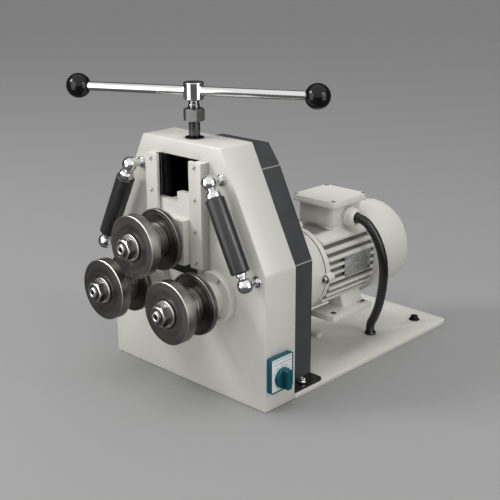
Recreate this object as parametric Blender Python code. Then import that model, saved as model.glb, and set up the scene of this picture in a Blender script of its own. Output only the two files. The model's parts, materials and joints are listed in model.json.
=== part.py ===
"""Pipe bending machine: three rolls, a hand screw that sets the top one, and a flange motor behind.

The frame: X to the machine's right hand side as seen by someone who faces its rolls, Y to the
back, Z up. The origin is the middle of the base plate's underside. Depths are counted backwards
from the front face of the housing, so pieces that stand in front of it have negative depths.
"""
import math

import bmesh
import bpy
from mathutils import Vector

mm = 0.001

# Fits
gap = 0.3 * mm
running_gap = 0.3 * mm
overrun = 2 * mm
overlap = 1 * mm
tooth_backlash = 0.25 * mm

# Facets
fine_steps = 24
medium_steps = 16
coarse_steps = 12
ball_steps = 8
corner_steps = 4
blend_steps = 2
sharp_angle = math.radians(35)
merge_distance = 0.001 * mm

# Base plate
plate_depth = 510 * mm
plate_thickness = 8 * mm
plate_corner = 14 * mm
base_bolt_side = 135 * mm
base_bolt_from_back = 45 * mm
base_bolt_hole_radius = 4.2 * mm
stop_block_side = 50 * mm
stop_block_depth = 275 * mm
stop_block_width = 20 * mm
stop_block_length = 14 * mm
stop_block_height = 9 * mm

# Housing
housing_depth = 70 * mm
housing_top_width = 178.4 * mm
knee_height = 224 * mm
front_wall = 12 * mm
side_wall = 10 * mm
housing_edge = 3 * mm
rear_plate_thickness = 11.4 * mm
slot_width = 72 * mm
slot_below_top = 25 * mm
slot_below_roll = 50.7 * mm

# Sheet cover behind the housing
cover_room = 3.9 * mm
cover_depth = 74 * mm
cover_sheet = 3 * mm
cover_knee_height = 209 * mm
cover_shoulder_half_width = 78 * mm
cover_shoulder_drop = 34 * mm
cover_top_half_width = 53 * mm
cover_below_top = 17 * mm
cover_foot_width = 29 * mm
cover_foot_margin = 2.5 * mm
cover_foot_corner = 10 * mm
foot_hole_in_cover_radius = 3.4 * mm

# Guide strips beside the slot
gib_width = 27.5 * mm
gib_depth = 18 * mm
gib_lip = 6 * mm
gib_lip_width = 9 * mm
gib_above_slot = 1 * mm
gib_edge = 1 * mm

# Carriage
carriage_rise = 54.3 * mm
carriage_step = 16 * mm
carriage_step_side = 3.5 * mm
carriage_drop = 28.7 * mm
pad_projection = 31 * mm
pad_drop = 40.7 * mm
pad_rise = 32.3 * mm
lug_half_width = 22 * mm
lug_drop = 20.7 * mm
lug_back = 50 * mm
carriage_edge = 1.2 * mm
carriage_bush_radius = 16 * mm
raising_travel = 50.1 * mm
lowering_travel = 20.1 * mm
travel_clearance = 10.9 * mm

# Spindle and cross bar
spindle_depth = 31 * mm
spindle_radius = 10 * mm
spindle_journal_radius = 8 * mm
spindle_journal_length = 25 * mm
spindle_collar_radius = 13 * mm
spindle_collar_height = 7 * mm
neck_radius = 9 * mm
neck_height = 13 * mm
hub_radius = 16 * mm
hub_height = 27 * mm
hub_edge = 1.5 * mm
bush_flange_radius = 15.5 * mm
bush_flange = 1.5 * mm
bush_body_radius = 13.5 * mm
bush_length = 33 * mm
stop_nut_across = 30 * mm
stop_nut_height = 20 * mm
stop_nut_clearance = 4.7 * mm
stop_nut_margin = 0.4 * mm
bar_radius = 7.2 * mm
bar_reach = 197 * mm
bar_turn = math.radians(24.4)
knob_ball_radius = 20 * mm
knob_seat_depth = 14 * mm

# Rolls
roll_spread = 151.2 * mm
lower_roll_height = 169 * mm
top_roll_rise = 87.7 * mm
roll_radius = 49.3 * mm
roll_standoff = 44 * mm
rear_disc_thickness = 9.6 * mm
groove_width = 34 * mm
front_disc_thickness = 18 * mm
disc_edge = 1.6 * mm
spacer_radius = 28.5 * mm
spacer_waist_radius = 26 * mm
spacer_waist_width = 11 * mm
shaft_radius = 12 * mm
shaft_collar_radius = 19 * mm
nose_radius = 10 * mm
nose_length = 21.5 * mm
nose_hole_radius = 4 * mm
nose_hole_depth = 6 * mm
nose_edge = 1 * mm
washer_radius = 21 * mm
washer_thickness = 3 * mm
roll_nut_across = 30 * mm
roll_nut_height = 14 * mm

# Bearings
bearing_radius = 20 * mm
bearing_width = 11 * mm
bearing_flange_radius = 42 * mm
bearing_flange_thickness = 12 * mm
bearing_flange_edge = 2 * mm
bearing_boss_radius = 26 * mm
bearing_boss_edge = 1 * mm
bearing_boss_clearance = 5 * mm

# Gears between the two lower rolls
idler_drop = 19.2 * mm
roll_gear_teeth = 24
idler_teeth = 15
pressure_angle = math.radians(25)
addendum_share = 0.9
dedendum_share = 1.2
gear_width = 14 * mm
gear_depth = 30 * mm
idler_shaft_radius = 10 * mm

# Reducer and motor, in line with the right lower roll
reducer_flange_radius = 66 * mm
reducer_flange = 13 * mm
reducer_radius = 54 * mm
reducer_edge = 4 * mm
roll_shaft_in_reducer = 20 * mm
motor_shaft_in_reducer = 30 * mm
motor_spigot_radius = 36 * mm
motor_spigot = 2 * mm
shield_radius = 72 * mm
shield_length = 36.4 * mm
shield_edge = 3 * mm
shield_lug_radius = 8 * mm
shield_lug_length = 4 * mm
shield_lug_count = 4
first_shield_lug = math.radians(-1)
frame_length = 132.7 * mm
frame_radius = 64 * mm
frame_wall = 10 * mm
frame_collar_length = 14 * mm
frame_collar_drop = 1.5 * mm
groove_runout = 9 * mm
fin_count = 9
fin_pitch = 12.5 * mm
fin_thickness = 4.5 * mm
side_fin_depth = 6 * mm
fin_depth = 11.5 * mm
bottom_fin_count = 5
shaft_height = 82 * mm
foot_half_span = 80 * mm
foot_thickness = 10 * mm
foot_inner = 30 * mm
foot_setback = 12.7 * mm
foot_end_inset = 16 * mm
foot_web_thickness = 28 * mm
foot_web_inset = 14 * mm
foot_web_lean = 9 * mm
foot_web_setback = 46 * mm
foot_web_end_inset = 6 * mm
foot_web_meeting = math.radians(38)
foot_hole_radius = 5 * mm
foot_hole_side = 67 * mm
foot_hole_inset = 16 * mm
box_pad_inset = 1 * mm
box_pad_rise = 67 * mm
pad_gland_clearance = 3 * mm
motor_shaft_radius = 9.5 * mm
rotor_radius = 32 * mm
rotor_length = 74 * mm
air_gap = 1 * mm
stator_length = 80 * mm
rear_shield = 8 * mm
fan_tip_clearance = 14.8 * mm
fan_hub_radius = 16 * mm
fan_blade_count = 8
fan_blade_thickness = 4 * mm
fan_width = 24 * mm
fan_gap = 10 * mm
fan_cover_radius = 78.6 * mm
fan_cover_setback = 4 * mm
fan_cover_length = 96 * mm
fan_cover_sheet = 1.8 * mm
fan_cover_round = 14 * mm
grille_slot_count = 12
grille_slot_width = 5 * mm
grille_inner_radius = 20 * mm
grille_margin = 10.6 * mm

# Terminal box and conduit
box_overhang = 2 * mm
box_width = 80 * mm
box_corner = 12 * mm
box_height = 35 * mm
box_wall = 4 * mm
lid_overhang = 8.5 * mm
lid_corner = 14 * mm
lid_thickness = 10 * mm
lid_rim_thickness = 4 * mm
lid_step = 1.5 * mm
lid_edge = 2 * mm
gland_rise = 12.7 * mm
gland_base_radius = 17 * mm
gland_base_length = 7 * mm
gland_cap_radius = 15.2 * mm
gland_length = 20 * mm
gland_cap_edge = 2.5 * mm
conduit_radius = 8 * mm
conduit_root_radius = 6.9 * mm
conduit_bore_radius = 5.2 * mm
conduit_rib_pitch = 4.5 * mm
conduit_in_gland = 16 * mm
conduit_foot_side = 115.5 * mm
conduit_foot_depth = 353 * mm
conduit_way = [
    (150.5, 277.5, 246),
    (164, 280.5, 233),
    (174, 285.5, 213),
    (178.5, 292.5, 188),
    (175.5, 302.5, 162),
    (166, 316, 132),
    (153, 330, 100),
    (138.5, 342.5, 69),
    (124.5, 350.5, 43),
]

# Switch
switch_width = 50 * mm
switch_height = 58 * mm
switch_depth = 28 * mm
switch_middle_height = 63 * mm
switch_thickness = 9.5 * mm
switch_rim = 1.5 * mm
switch_corner = 3 * mm
switch_recess = 1.5 * mm
switch_hole_depth = 6 * mm
knob_drop = 7 * mm
knob_rise = 1.8 * mm
knob_base_radius = 17 * mm
knob_base_thickness = 5 * mm
knob_grip_length = 33 * mm
knob_grip_width = 11 * mm
knob_grip_height = 10 * mm
knob_edge = 1.5 * mm
knob_grip_corner_share = 0.25
knob_spindle_radius = 3 * mm

# Side guide rollers
guide_top_side = 91.1 * mm
guide_below_top = 47.2 * mm
guide_bottom_inset = 15.9 * mm
guide_bottom_height = 214.2 * mm
guide_reach = 27 * mm
guide_ball_radius = 12.5 * mm
guide_stud_radius = 5.5 * mm
guide_ring_radius = 9 * mm
guide_ring_thickness = 4 * mm
guide_rod_radius = 5 * mm
guide_cap_radius = 12 * mm
guide_cap_length = 9 * mm
guide_cap_start = 14.5 * mm
cap_taper_share = 0.75
guide_foot_radius = 8.5 * mm
guide_foot_length = 4.5 * mm
sleeve_radius = 15 * mm

# Places that follow from the sizes
front_y = -plate_depth / 2
roll_side = roll_spread / 2
top_roll_height = lower_roll_height + top_roll_rise
cover_half_width = roll_side + reducer_flange_radius + cover_room + cover_sheet
plate_width = 2 * (cover_half_width + cover_foot_width + cover_foot_margin)
carriage_top = top_roll_height + carriage_rise
housing_height = carriage_top + raising_travel + travel_clearance + bush_length
slot_top = housing_height - slot_below_top
slot_bottom = top_roll_height - slot_below_roll
gib_top = slot_top + gib_above_slot
gib_bottom = lower_roll_height + bearing_flange_radius
cover_top_height = housing_height - cover_below_top
cover_shoulder_height = cover_top_height - cover_shoulder_drop
bush_top = housing_height + gap + bush_flange
stop_nut_bottom = bush_top + lowering_travel + stop_nut_clearance
thread_top = stop_nut_bottom + stop_nut_height + stop_nut_margin
spindle_journal_bottom = carriage_top - spindle_journal_length
gear_module = 2 * math.hypot(roll_side, idler_drop) / (roll_gear_teeth + idler_teeth)
idler_height = lower_roll_height - idler_drop
guide_top_height = housing_height - guide_below_top
guide_bottom_side = plate_width / 2 - guide_bottom_inset
rear_plate_depth = housing_depth - rear_plate_thickness
cover_start = housing_depth + gap
cover_back = cover_start + cover_depth
rear_disc_front = -roll_standoff - rear_disc_thickness
front_disc_back = rear_disc_front - groove_width
front_disc_front = front_disc_back - front_disc_thickness
pad_front = -pad_projection
reducer_start = housing_depth + gap
reducer_back = cover_back - cover_sheet - gap
shield_front = cover_back + gap
shield_end_depth = shield_front + shield_length
frame_start = shield_end_depth + gap
frame_end_depth = frame_start + frame_length
frame_bore_radius = frame_radius - frame_wall
frame_collar_radius = shield_radius - frame_collar_drop
foot_start_depth = frame_start + foot_setback
foot_end_depth = frame_end_depth - foot_end_inset
stator_start_depth = (frame_start + frame_end_depth - stator_length) / 2
fan_start = frame_end_depth + rear_shield + fan_gap
fan_cover_start_depth = frame_end_depth + fan_cover_setback
fan_cover_end_depth = fan_cover_start_depth + fan_cover_length
fan_radius = fan_cover_radius - fan_cover_sheet - fan_tip_clearance
box_end_depth = frame_end_depth + box_overhang
box_depth = box_end_depth - box_width / 2
box_bottom = lower_roll_height + box_pad_rise + gap
gland_height = box_bottom + gland_rise
hub_bottom = thread_top + neck_height
bar_height = hub_bottom + hub_height / 2
top_wall_bottom = housing_height - side_wall


def base_point(side, depth, height):
    """The place of a point that is given from the machine's middle, its front face and the floor."""
    return Vector((side, front_y + depth, height))


# Materials


def paint(name, colour, roughness, metallic):
    finish = bpy.data.materials.new(name)
    finish.use_nodes = True
    shader = finish.node_tree.nodes["Principled BSDF"]
    shader.inputs["Base Color"].default_value = (*colour, 1)
    shader.inputs["Roughness"].default_value = roughness
    shader.inputs["Metallic"].default_value = metallic
    return finish


def make_finishes():
    return {
        "cream": paint("cream_paint", (0.62, 0.60, 0.54), 0.42, 0),
        "grey": paint("grey_paint", (0.065, 0.07, 0.075), 0.5, 0),
        "chrome": paint("chrome", (0.78, 0.79, 0.8), 0.12, 1),
        "steel": paint("turned_steel", (0.3, 0.29, 0.27), 0.38, 1),
        "bright": paint("bright_steel", (0.6, 0.6, 0.58), 0.28, 1),
        "black": paint("black_plastic", (0.012, 0.012, 0.013), 0.25, 0),
        "sleeve": paint("black_sleeve", (0.035, 0.036, 0.038), 0.4, 0),
        "teal": paint("teal_plastic", (0.0, 0.16, 0.2), 0.35, 0),
        "blacked": paint("blackened_steel", (0.02, 0.02, 0.02), 0.5, 1),
        "conduit": paint("conduit_rubber", (0.012, 0.012, 0.012), 0.45, 0),
    }


# Shapes


def on_axis(axis, across, up, along):
    """A point whose last value runs along the named axis."""
    if axis == "X":
        return Vector((along, across, up))
    if axis == "Y":
        return Vector((across, along, up))
    return Vector((across, up, along))


AXIS_DIRECTIONS = {"X": Vector((1, 0, 0)), "Y": Vector((0, 1, 0)), "Z": Vector((0, 0, 1))}


def turned(axis, profile, steps):
    """A body of revolution. The profile lists (place along the axis, radius)."""
    shape = bmesh.new()
    points = [shape.verts.new(on_axis(axis, radius, 0, along)) for along, radius in profile]
    edges = [shape.edges.new(pair) for pair in zip(points, points[1:])]
    if profile[0][1] > 0:
        edges.append(shape.edges.new((points[-1], points[0])))
    bmesh.ops.spin(
        shape,
        geom=points + edges,
        cent=(0, 0, 0),
        axis=AXIS_DIRECTIONS[axis],
        angle=2 * math.pi,
        steps=steps,
    )
    bmesh.ops.remove_doubles(shape, verts=shape.verts, dist=merge_distance)
    return shape


def extruded(axis, outline, start, depth, holes=(), soften=False):
    """An outline with its holes, drawn across the axis and pulled along it."""
    shape = bmesh.new()
    weights = shape.edges.layers.float.new("bevel_weight_edge")
    edges = []
    outer_edges = set()
    for loop in (outline, *holes):
        corners = [shape.verts.new(on_axis(axis, across, up, start)) for across, up in loop]
        ring = [shape.edges.new(pair) for pair in zip(corners, corners[1:] + corners[:1])]
        edges += ring
        if loop is outline:
            outer_edges.update(ring)
    bmesh.ops.triangle_fill(shape, edges=edges, use_beauty=True)
    caps = list(shape.faces)
    far = AXIS_DIRECTIONS[axis] * depth
    opposite = {vert: shape.verts.new(vert.co + far) for vert in list(shape.verts)}
    for cap in caps:
        shape.faces.new([opposite[vert] for vert in cap.verts])
    for edge in edges:
        first, second = edge.verts
        shape.faces.new((first, second, opposite[second], opposite[first]))
    if soften:
        for edge in outer_edges:
            first, second = edge.verts
            edge[weights] = 1
            shape.edges.get((opposite[first], opposite[second]))[weights] = 1
            shape.edges.get((first, opposite[first]))[weights] = 1
    return shape


def block(low, high):
    """A plain block between two corners."""
    outline = [(low[0], low[1]), (high[0], low[1]), (high[0], high[1]), (low[0], high[1])]
    return extruded("Z", outline, low[2], high[2] - low[2], soften=True)


def joined(shapes):
    """Several separate bodies in one mesh."""
    whole = bmesh.new()
    for shape in shapes:
        part = bpy.data.meshes.new("part")
        shape.to_mesh(part)
        shape.free()
        whole.from_mesh(part)
        bpy.data.meshes.remove(part)
    return whole


def moved(shape, offset):
    bmesh.ops.translate(shape, verts=shape.verts, vec=offset)
    return shape


def piece(name, shape, finish, at=(0, 0, 0)):
    """One named piece of the machine, with its origin at the given place."""
    bmesh.ops.recalc_face_normals(shape, faces=shape.faces)
    mesh = bpy.data.meshes.new(name)
    shape.to_mesh(mesh)
    shape.free()
    mesh.shade_smooth()
    mesh.set_sharp_from_angle(angle=sharp_angle)
    if finish:
        mesh.materials.append(finish)
    item = bpy.data.objects.new(name, mesh)
    item.location = at
    bpy.context.scene.collection.objects.link(item)
    return item


def helper(name, shape, at):
    """A shape that only cuts or extends a piece."""
    item = piece(name, shape, None, at)
    item.hide_render = True
    item.display_type = "WIRE"
    return item


def combine(item, other, operation):
    change = item.modifiers.new(operation.title(), "BOOLEAN")
    change.operation = operation
    change.object = other


def soften_edges(item, width, segments=2):
    """Round the edges that were marked as a piece's outer ones."""
    bevel = item.modifiers.new("Edges", "BEVEL")
    bevel.width = width
    bevel.segments = segments
    bevel.limit_method = "WEIGHT"


# Outlines


def circle(radius, steps, centre=(0, 0), first=0):
    turn = 2 * math.pi / steps
    return [
        (centre[0] + radius * math.cos(first + i * turn), centre[1] + radius * math.sin(first + i * turn))
        for i in range(steps)
    ]


def arc(centre, radius, start, end, steps):
    return [
        (
            centre[0] + radius * math.cos(start + (end - start) * i / steps),
            centre[1] + radius * math.sin(start + (end - start) * i / steps),
        )
        for i in range(steps + 1)
    ]


def hexagon(across_flats, first=0):
    return circle(across_flats / math.sqrt(3), 6, first=first)


def rectangle(low_across, low_up, high_across, high_up):
    return [(low_across, low_up), (high_across, low_up), (high_across, high_up), (low_across, high_up)]


def rounded_rectangle(width, height, radius, centre=(0, 0)):
    across = width / 2 - radius
    up = height / 2 - radius
    quarter = math.pi / 2
    outline = []
    for turn, (side, rise) in enumerate([(1, 1), (-1, 1), (-1, -1), (1, -1)]):
        middle = (centre[0] + side * across, centre[1] + rise * up)
        outline += arc(middle, radius, turn * quarter, (turn + 1) * quarter, corner_steps)
    return outline


def gabled_outline(half_width, knee, top_half_width, top, bottom):
    """The housing's front view: upright sides that lean in above the knee."""
    return [
        (-half_width, bottom),
        (half_width, bottom),
        (half_width, knee),
        (top_half_width, top),
        (-top_half_width, top),
        (-half_width, knee),
    ]


def inset(outline, distance):
    """A convex outline, drawn anticlockwise, with every side moved in by a distance."""
    result = []
    for i, corner in enumerate(outline):
        before = Vector(outline[i - 1])
        corner = Vector(corner)
        after = Vector(outline[(i + 1) % len(outline)])
        first = (corner - before).normalized()
        second = (after - corner).normalized()
        back = distance * (1 - first.dot(second)) / first.cross(second)
        place = corner + Vector((-first.y, first.x)) * distance - first * back
        result.append((place.x, place.y))
    return result


def housing_outline(wall, bottom):
    """The housing's front view with its sides and top moved in by a wall, open at the bottom."""
    outline = gabled_outline(
        plate_width / 2, knee_height, housing_top_width / 2, housing_height, bottom - wall
    )
    return inset(outline, wall) if wall else outline


def cover_outline(wall, low, high):
    """The sheet cover's rear view between two heights, moved in by a wall."""
    half = [
        (cover_half_width, cover_knee_height),
        (cover_shoulder_half_width, cover_shoulder_height),
        (cover_top_half_width, cover_top_height),
    ]
    outline = [(-cover_half_width, -overrun), (cover_half_width, -overrun)]
    outline += half + [(-side, height) for side, height in reversed(half)]
    moved_in = inset(outline, wall) if wall else outline
    return clipped(moved_in, low, high)


def clipped(outline, low, high):
    """The part of a convex outline between two heights."""
    result = []
    for i, (side, height) in enumerate(outline):
        last_side, last_height = outline[i - 1]
        for level in sorted((low, high), reverse=height < last_height):
            if (height - level) * (last_height - level) < 0:
                share = (level - last_height) / (height - last_height)
                result.append((last_side + share * (side - last_side), level))
        if low <= height <= high:
            result.append((side, height))
    return result


def gear_outline(teeth, phase):
    """Involute teeth, with one tooth centred on the phase angle."""
    pitch_radius = gear_module * teeth / 2
    base_radius = pitch_radius * math.cos(pressure_angle)
    tip_radius = pitch_radius + addendum_share * gear_module
    root_radius = pitch_radius - dedendum_share * gear_module
    half_tooth = (math.pi * gear_module / 2 - tooth_backlash) / (2 * pitch_radius)

    def half_angle(radius):
        lean = math.acos(min(1, base_radius / radius))
        roll_off = math.tan(pressure_angle) - pressure_angle
        return half_tooth + roll_off - (math.tan(lean) - lean)

    flank = [(root_radius, half_angle(base_radius)), (tip_radius, half_angle(tip_radius))]
    outline = []
    for tooth in range(teeth):
        middle = phase + tooth * 2 * math.pi / teeth
        for radius, spread in flank:
            outline.append((radius * math.cos(middle - spread), radius * math.sin(middle - spread)))
        for radius, spread in reversed(flank):
            outline.append((radius * math.cos(middle + spread), radius * math.sin(middle + spread)))
    return outline


def meshed_phase(driver_phase, driver_teeth, teeth, direction):
    """The phase that puts a gap of the second gear on a tooth of the first."""
    turn = (direction - driver_phase) * driver_teeth / teeth
    return direction + math.pi + turn + math.pi / teeth


# Base


def make_base(finish):
    tongue_half = plate_width / 2 - side_wall - gap
    half = plate_width / 2
    back = front_y + plate_depth
    shoulder = front_y + housing_depth + gap
    front = front_y + front_wall + gap
    turn_in = half - plate_corner
    quarter = math.pi / 2
    outline = [(-tongue_half, front), (tongue_half, front), (tongue_half, shoulder), (half, shoulder)]
    outline += arc((turn_in, back - plate_corner), plate_corner, 0, quarter, corner_steps)
    outline += arc((-turn_in, back - plate_corner), plate_corner, quarter, math.pi, corner_steps)
    outline += [(-half, shoulder), (-tongue_half, shoulder)]
    bolt_places = [(side, back - base_bolt_from_back) for side in (-base_bolt_side, base_bolt_side)]
    holes = [circle(base_bolt_hole_radius, coarse_steps, place) for place in bolt_places]
    conduit_foot = (conduit_foot_side, front_y + conduit_foot_depth)
    holes.append(circle(conduit_radius + gap, coarse_steps, conduit_foot))
    plate = piece("base_plate", extruded("Z", outline, 0, plate_thickness, holes), finish["cream"])
    half_block = Vector((stop_block_width / 2, stop_block_length / 2, 0))
    low = base_point(stop_block_side, stop_block_depth, plate_thickness / 2) - half_block
    high = base_point(stop_block_side, stop_block_depth, plate_thickness + stop_block_height) + half_block
    combine(plate, helper("stop_block_shape", block(low, high), (0, 0, 0)), "UNION")


# Housing


def shaft_holes(radius):
    """Round holes on the axes of the two lower rolls."""
    return [circle(radius, medium_steps, (side, lower_roll_height)) for side in (-roll_side, roll_side)]


def make_housing(finish):
    outer = housing_outline(0, 0)
    housing = piece(
        "front_housing",
        extruded("Y", outer, front_y, housing_depth, soften=True),
        finish["cream"],
    )
    soften_edges(housing, housing_edge)
    hollow = extruded(
        "Y", housing_outline(side_wall, -overrun), front_y + front_wall, housing_depth
    )
    combine(housing, helper("housing_hollow", hollow, (0, 0, 0)), "DIFFERENCE")
    window = extruded(
        "Y",
        rectangle(-slot_width / 2, slot_bottom, slot_width / 2, slot_top),
        front_y - overrun,
        front_wall + 2 * overrun,
    )
    bores = [
        extruded("Y", hole, front_y - overrun, front_wall + 2 * overrun)
        for hole in shaft_holes(bearing_radius + gap)
    ]
    bush_hole = moved(
        turned(
            "Z",
            [
                (top_wall_bottom - overrun, 0),
                (top_wall_bottom - overrun, bush_body_radius + gap),
                (housing_height + overrun, bush_body_radius + gap),
                (housing_height + overrun, 0),
            ],
            medium_steps,
        ),
        base_point(0, spindle_depth, 0),
    )
    openings = joined([window, *bores, bush_hole])
    combine(housing, helper("housing_openings", openings, (0, 0, 0)), "DIFFERENCE")

    floor = plate_thickness + gap
    outline = [(side, max(height, floor)) for side, height in housing_outline(side_wall + gap, 0)]
    idler_hole = circle(idler_shaft_radius + running_gap, medium_steps, (0, idler_height))
    plate = extruded(
        "Y",
        outline,
        front_y + rear_plate_depth,
        rear_plate_thickness,
        [*shaft_holes(bearing_radius + gap), idler_hole],
    )
    piece("rear_bearing_plate", plate, finish["blacked"])


def make_sheet_cover(finish):
    back = front_y + cover_back
    start = front_y + cover_start
    spigot = motor_spigot_radius + 2 * gap
    floor = plate_thickness + gap
    top = cover_top_height
    knee = cover_knee_height
    spans = {"cover_lower": (floor, knee - gap / 2), "cover_hood": (knee + gap / 2, top)}
    for name, (low, high) in spans.items():
        shell = piece(name, extruded("Y", cover_outline(0, low, high), start, cover_depth), finish["grey"])
        room = extruded(
            "Y",
            cover_outline(cover_sheet, low - overrun, high + overrun),
            start - overrun,
            cover_depth - cover_sheet + overrun,
        )
        combine(shell, helper(name + "_room", room, (0, 0, 0)), "DIFFERENCE")
        if name == "cover_lower":
            hole = extruded(
                "Y",
                circle(spigot, fine_steps, (roll_side, lower_roll_height)),
                back - cover_sheet - overrun,
                cover_sheet + 2 * overrun,
            )
            combine(shell, helper("spigot_hole", hole, (0, 0, 0)), "DIFFERENCE")
            feet = []
            for side in (-1, 1):
                inner = side * (cover_half_width - cover_sheet / 2)
                outer = side * (cover_half_width + cover_foot_width)
                turn_in = outer - side * cover_foot_corner
                middle = (turn_in, back - cover_foot_corner)
                quarter = math.pi / 2
                corner = arc(middle, cover_foot_corner, 0, quarter, corner_steps)
                if side < 0:
                    corner = [(2 * turn_in - across, up) for across, up in corner]
                outline = [(inner, start), (outer, start), *corner, (inner, back)]
                hole = circle(foot_hole_in_cover_radius, coarse_steps, foot_screw_place(side))
                feet.append(extruded("Z", outline, floor, cover_sheet, [hole]))
            combine(shell, helper("cover_feet", joined(feet), (0, 0, 0)), "UNION")


def foot_screw_place(side):
    """The middle of a cover foot, seen from above."""
    return (side * (cover_half_width + cover_foot_width / 2), front_y + cover_start + cover_depth / 2)


# Slide


def make_gibs(finish):
    inner = slot_width / 2
    root = inner + gib_lip_width
    outer = inner + gib_width
    front = front_y - gib_depth
    for name, side in (("gib_left", -1), ("gib_right", 1)):
        outline = [
            (side * inner, front),
            (side * outer, front),
            (side * outer, front_y - gap),
            (side * root, front_y - gap),
            (side * root, front + gib_lip),
            (side * inner, front + gib_lip),
        ]
        strip = piece(
            name,
            extruded("Z", outline, gib_bottom, gib_top - gib_bottom, soften=True),
            finish["cream"],
        )
        soften_edges(strip, gib_edge)


def make_carriage(finish):
    half = slot_width / 2 - gap
    flange_half = slot_width / 2 + gib_lip_width - gap
    flange_front = front_y - gib_depth + gib_lip + gap
    flange_back = front_y - gap
    at = base_point(0, 0, top_roll_height)
    pad_bottom = top_roll_height - pad_drop
    pad_top = top_roll_height + pad_rise
    flange_bottom = top_roll_height - carriage_drop
    step_top = carriage_top + carriage_step
    lug_bottom = top_roll_height - lug_drop

    def body(low_side, high_side, low_depth, high_depth, low, high, soften=False):
        outline = rectangle(low_side, low - at.z, high_side, high - at.z)
        return extruded("Y", outline, low_depth - at.y, high_depth - low_depth, soften=soften)

    carriage = piece(
        "carriage",
        body(-half, half, front_y + pad_front, flange_front + overlap, pad_bottom, pad_top, soften=True),
        finish["cream"],
        at,
    )
    soften_edges(carriage, carriage_edge)
    flange = body(-flange_half, flange_half, flange_front, flange_back, flange_bottom, carriage_top)
    step = body(
        carriage_step_side, flange_half, flange_front, flange_back, carriage_top - overlap, step_top
    )
    lug = body(
        -lug_half_width,
        lug_half_width,
        flange_back - overlap,
        front_y + lug_back,
        lug_bottom,
        carriage_top,
    )
    for name, extra in (("flange", flange), ("step", step), ("lug", lug)):
        combine(carriage, helper("carriage_" + name, extra, at), "UNION")
    bore = turned(
        "Y",
        [
            (pad_front - overrun, 0),
            (pad_front - overrun, carriage_bush_radius + gap),
            (lug_back + overrun, carriage_bush_radius + gap),
            (lug_back + overrun, 0),
        ],
        medium_steps,
    )
    pocket = moved(
        turned(
            "Z",
            [
                (spindle_journal_bottom - gap, 0),
                (spindle_journal_bottom - gap, spindle_journal_radius + running_gap),
                (carriage_top + overrun, spindle_journal_radius + running_gap),
                (carriage_top + overrun, 0),
            ],
            medium_steps,
        ),
        Vector((0, spindle_depth, -at.z)),
    )
    combine(carriage, helper("carriage_bores", joined([bore, pocket]), at), "DIFFERENCE")
    inner = shaft_radius + running_gap
    bush = [
        (pad_front + gap, inner),
        (pad_front + gap, carriage_bush_radius),
        (lug_back - gap, carriage_bush_radius),
        (lug_back - gap, inner),
    ]
    piece("carriage_bush", turned("Y", bush, medium_steps), finish["bright"], at)


def bearing(start):
    """A shaft bearing whose front face stands at a depth."""
    inner = shaft_radius + running_gap
    profile = [
        (start, inner),
        (start, bearing_radius),
        (start + bearing_width, bearing_radius),
        (start + bearing_width, inner),
    ]
    return turned("Y", profile, medium_steps)


# Spindle and cross bar


def make_spindle(finish):
    at = base_point(0, spindle_depth, 0)
    collar_bottom = carriage_top + gap
    collar_top = collar_bottom + spindle_collar_height
    profile = [
        (spindle_journal_bottom, 0),
        (spindle_journal_bottom, spindle_journal_radius),
        (collar_bottom, spindle_journal_radius),
        (collar_bottom, spindle_collar_radius),
        (collar_top, spindle_collar_radius),
        (collar_top, spindle_radius),
        (thread_top, spindle_radius),
        (thread_top, neck_radius),
        (hub_bottom - gap, neck_radius),
        (hub_bottom - gap, 0),
    ]
    piece("spindle", turned("Z", profile, medium_steps), finish["steel"], at)

    hub_profile = [
        (hub_bottom, 0),
        (hub_bottom, hub_radius - hub_edge),
        (hub_bottom + hub_edge, hub_radius),
        (hub_bottom + hub_height - hub_edge, hub_radius),
        (hub_bottom + hub_height, hub_radius - hub_edge),
        (hub_bottom + hub_height, 0),
    ]
    hub = piece("spindle_hub", turned("Z", hub_profile, medium_steps), finish["chrome"], at)
    reach = hub_radius + overrun
    hole = bar_radius + gap
    cross_bore = turned("X", [(-reach, 0), (-reach, hole), (reach, hole), (reach, 0)], medium_steps)
    centre = base_point(0, spindle_depth, bar_height)
    cutter = helper("cross_bore", cross_bore, centre)
    cutter.rotation_euler.z = bar_turn
    combine(hub, cutter, "DIFFERENCE")

    half = bar_reach - knob_ball_radius + knob_seat_depth - gap
    bar = piece(
        "tee_bar",
        turned("X", [(-half, 0), (-half, bar_radius), (half, bar_radius), (half, 0)], medium_steps),
        finish["chrome"],
        centre,
    )
    bar.rotation_euler.z = bar_turn
    for name, side in (("bar_knob_left", -1), ("bar_knob_right", 1)):
        knob = piece(name, knob_ball(side), finish["black"], centre)
        knob.rotation_euler.z = bar_turn

    bore = circle(spindle_radius + gap, medium_steps)
    nut = extruded("Z", hexagon(stop_nut_across), stop_nut_bottom, stop_nut_height, [bore])
    piece("stop_nut", nut, finish["bright"], at)

    flange_seat = housing_height + gap
    bush_bottom = housing_height - bush_length
    inner = spindle_radius + running_gap
    bush_profile = [
        (bush_bottom, inner),
        (bush_bottom, bush_body_radius),
        (flange_seat, bush_body_radius),
        (flange_seat, bush_flange_radius),
        (bush_top, bush_flange_radius),
        (bush_top, inner),
    ]
    piece("spindle_bush", turned("Z", bush_profile, medium_steps), finish["blacked"], at)


def knob_ball(side):
    """A ball knob with a flat-bottomed seat for the bar's end."""
    seat_radius = bar_radius + gap
    mouth = math.asin(seat_radius / knob_ball_radius)
    profile = []
    for i in range(ball_steps + 1):
        angle = math.pi - (math.pi - mouth) * i / ball_steps
        profile.append((-knob_ball_radius * math.cos(angle), knob_ball_radius * math.sin(angle)))
    profile[0] = (knob_ball_radius, 0)
    floor = knob_seat_depth - knob_ball_radius
    profile += [(floor, seat_radius), (floor, 0)]
    places = [(side * (bar_reach + along), radius) for along, radius in profile]
    return turned("X", places, medium_steps)


# Rolls


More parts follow.
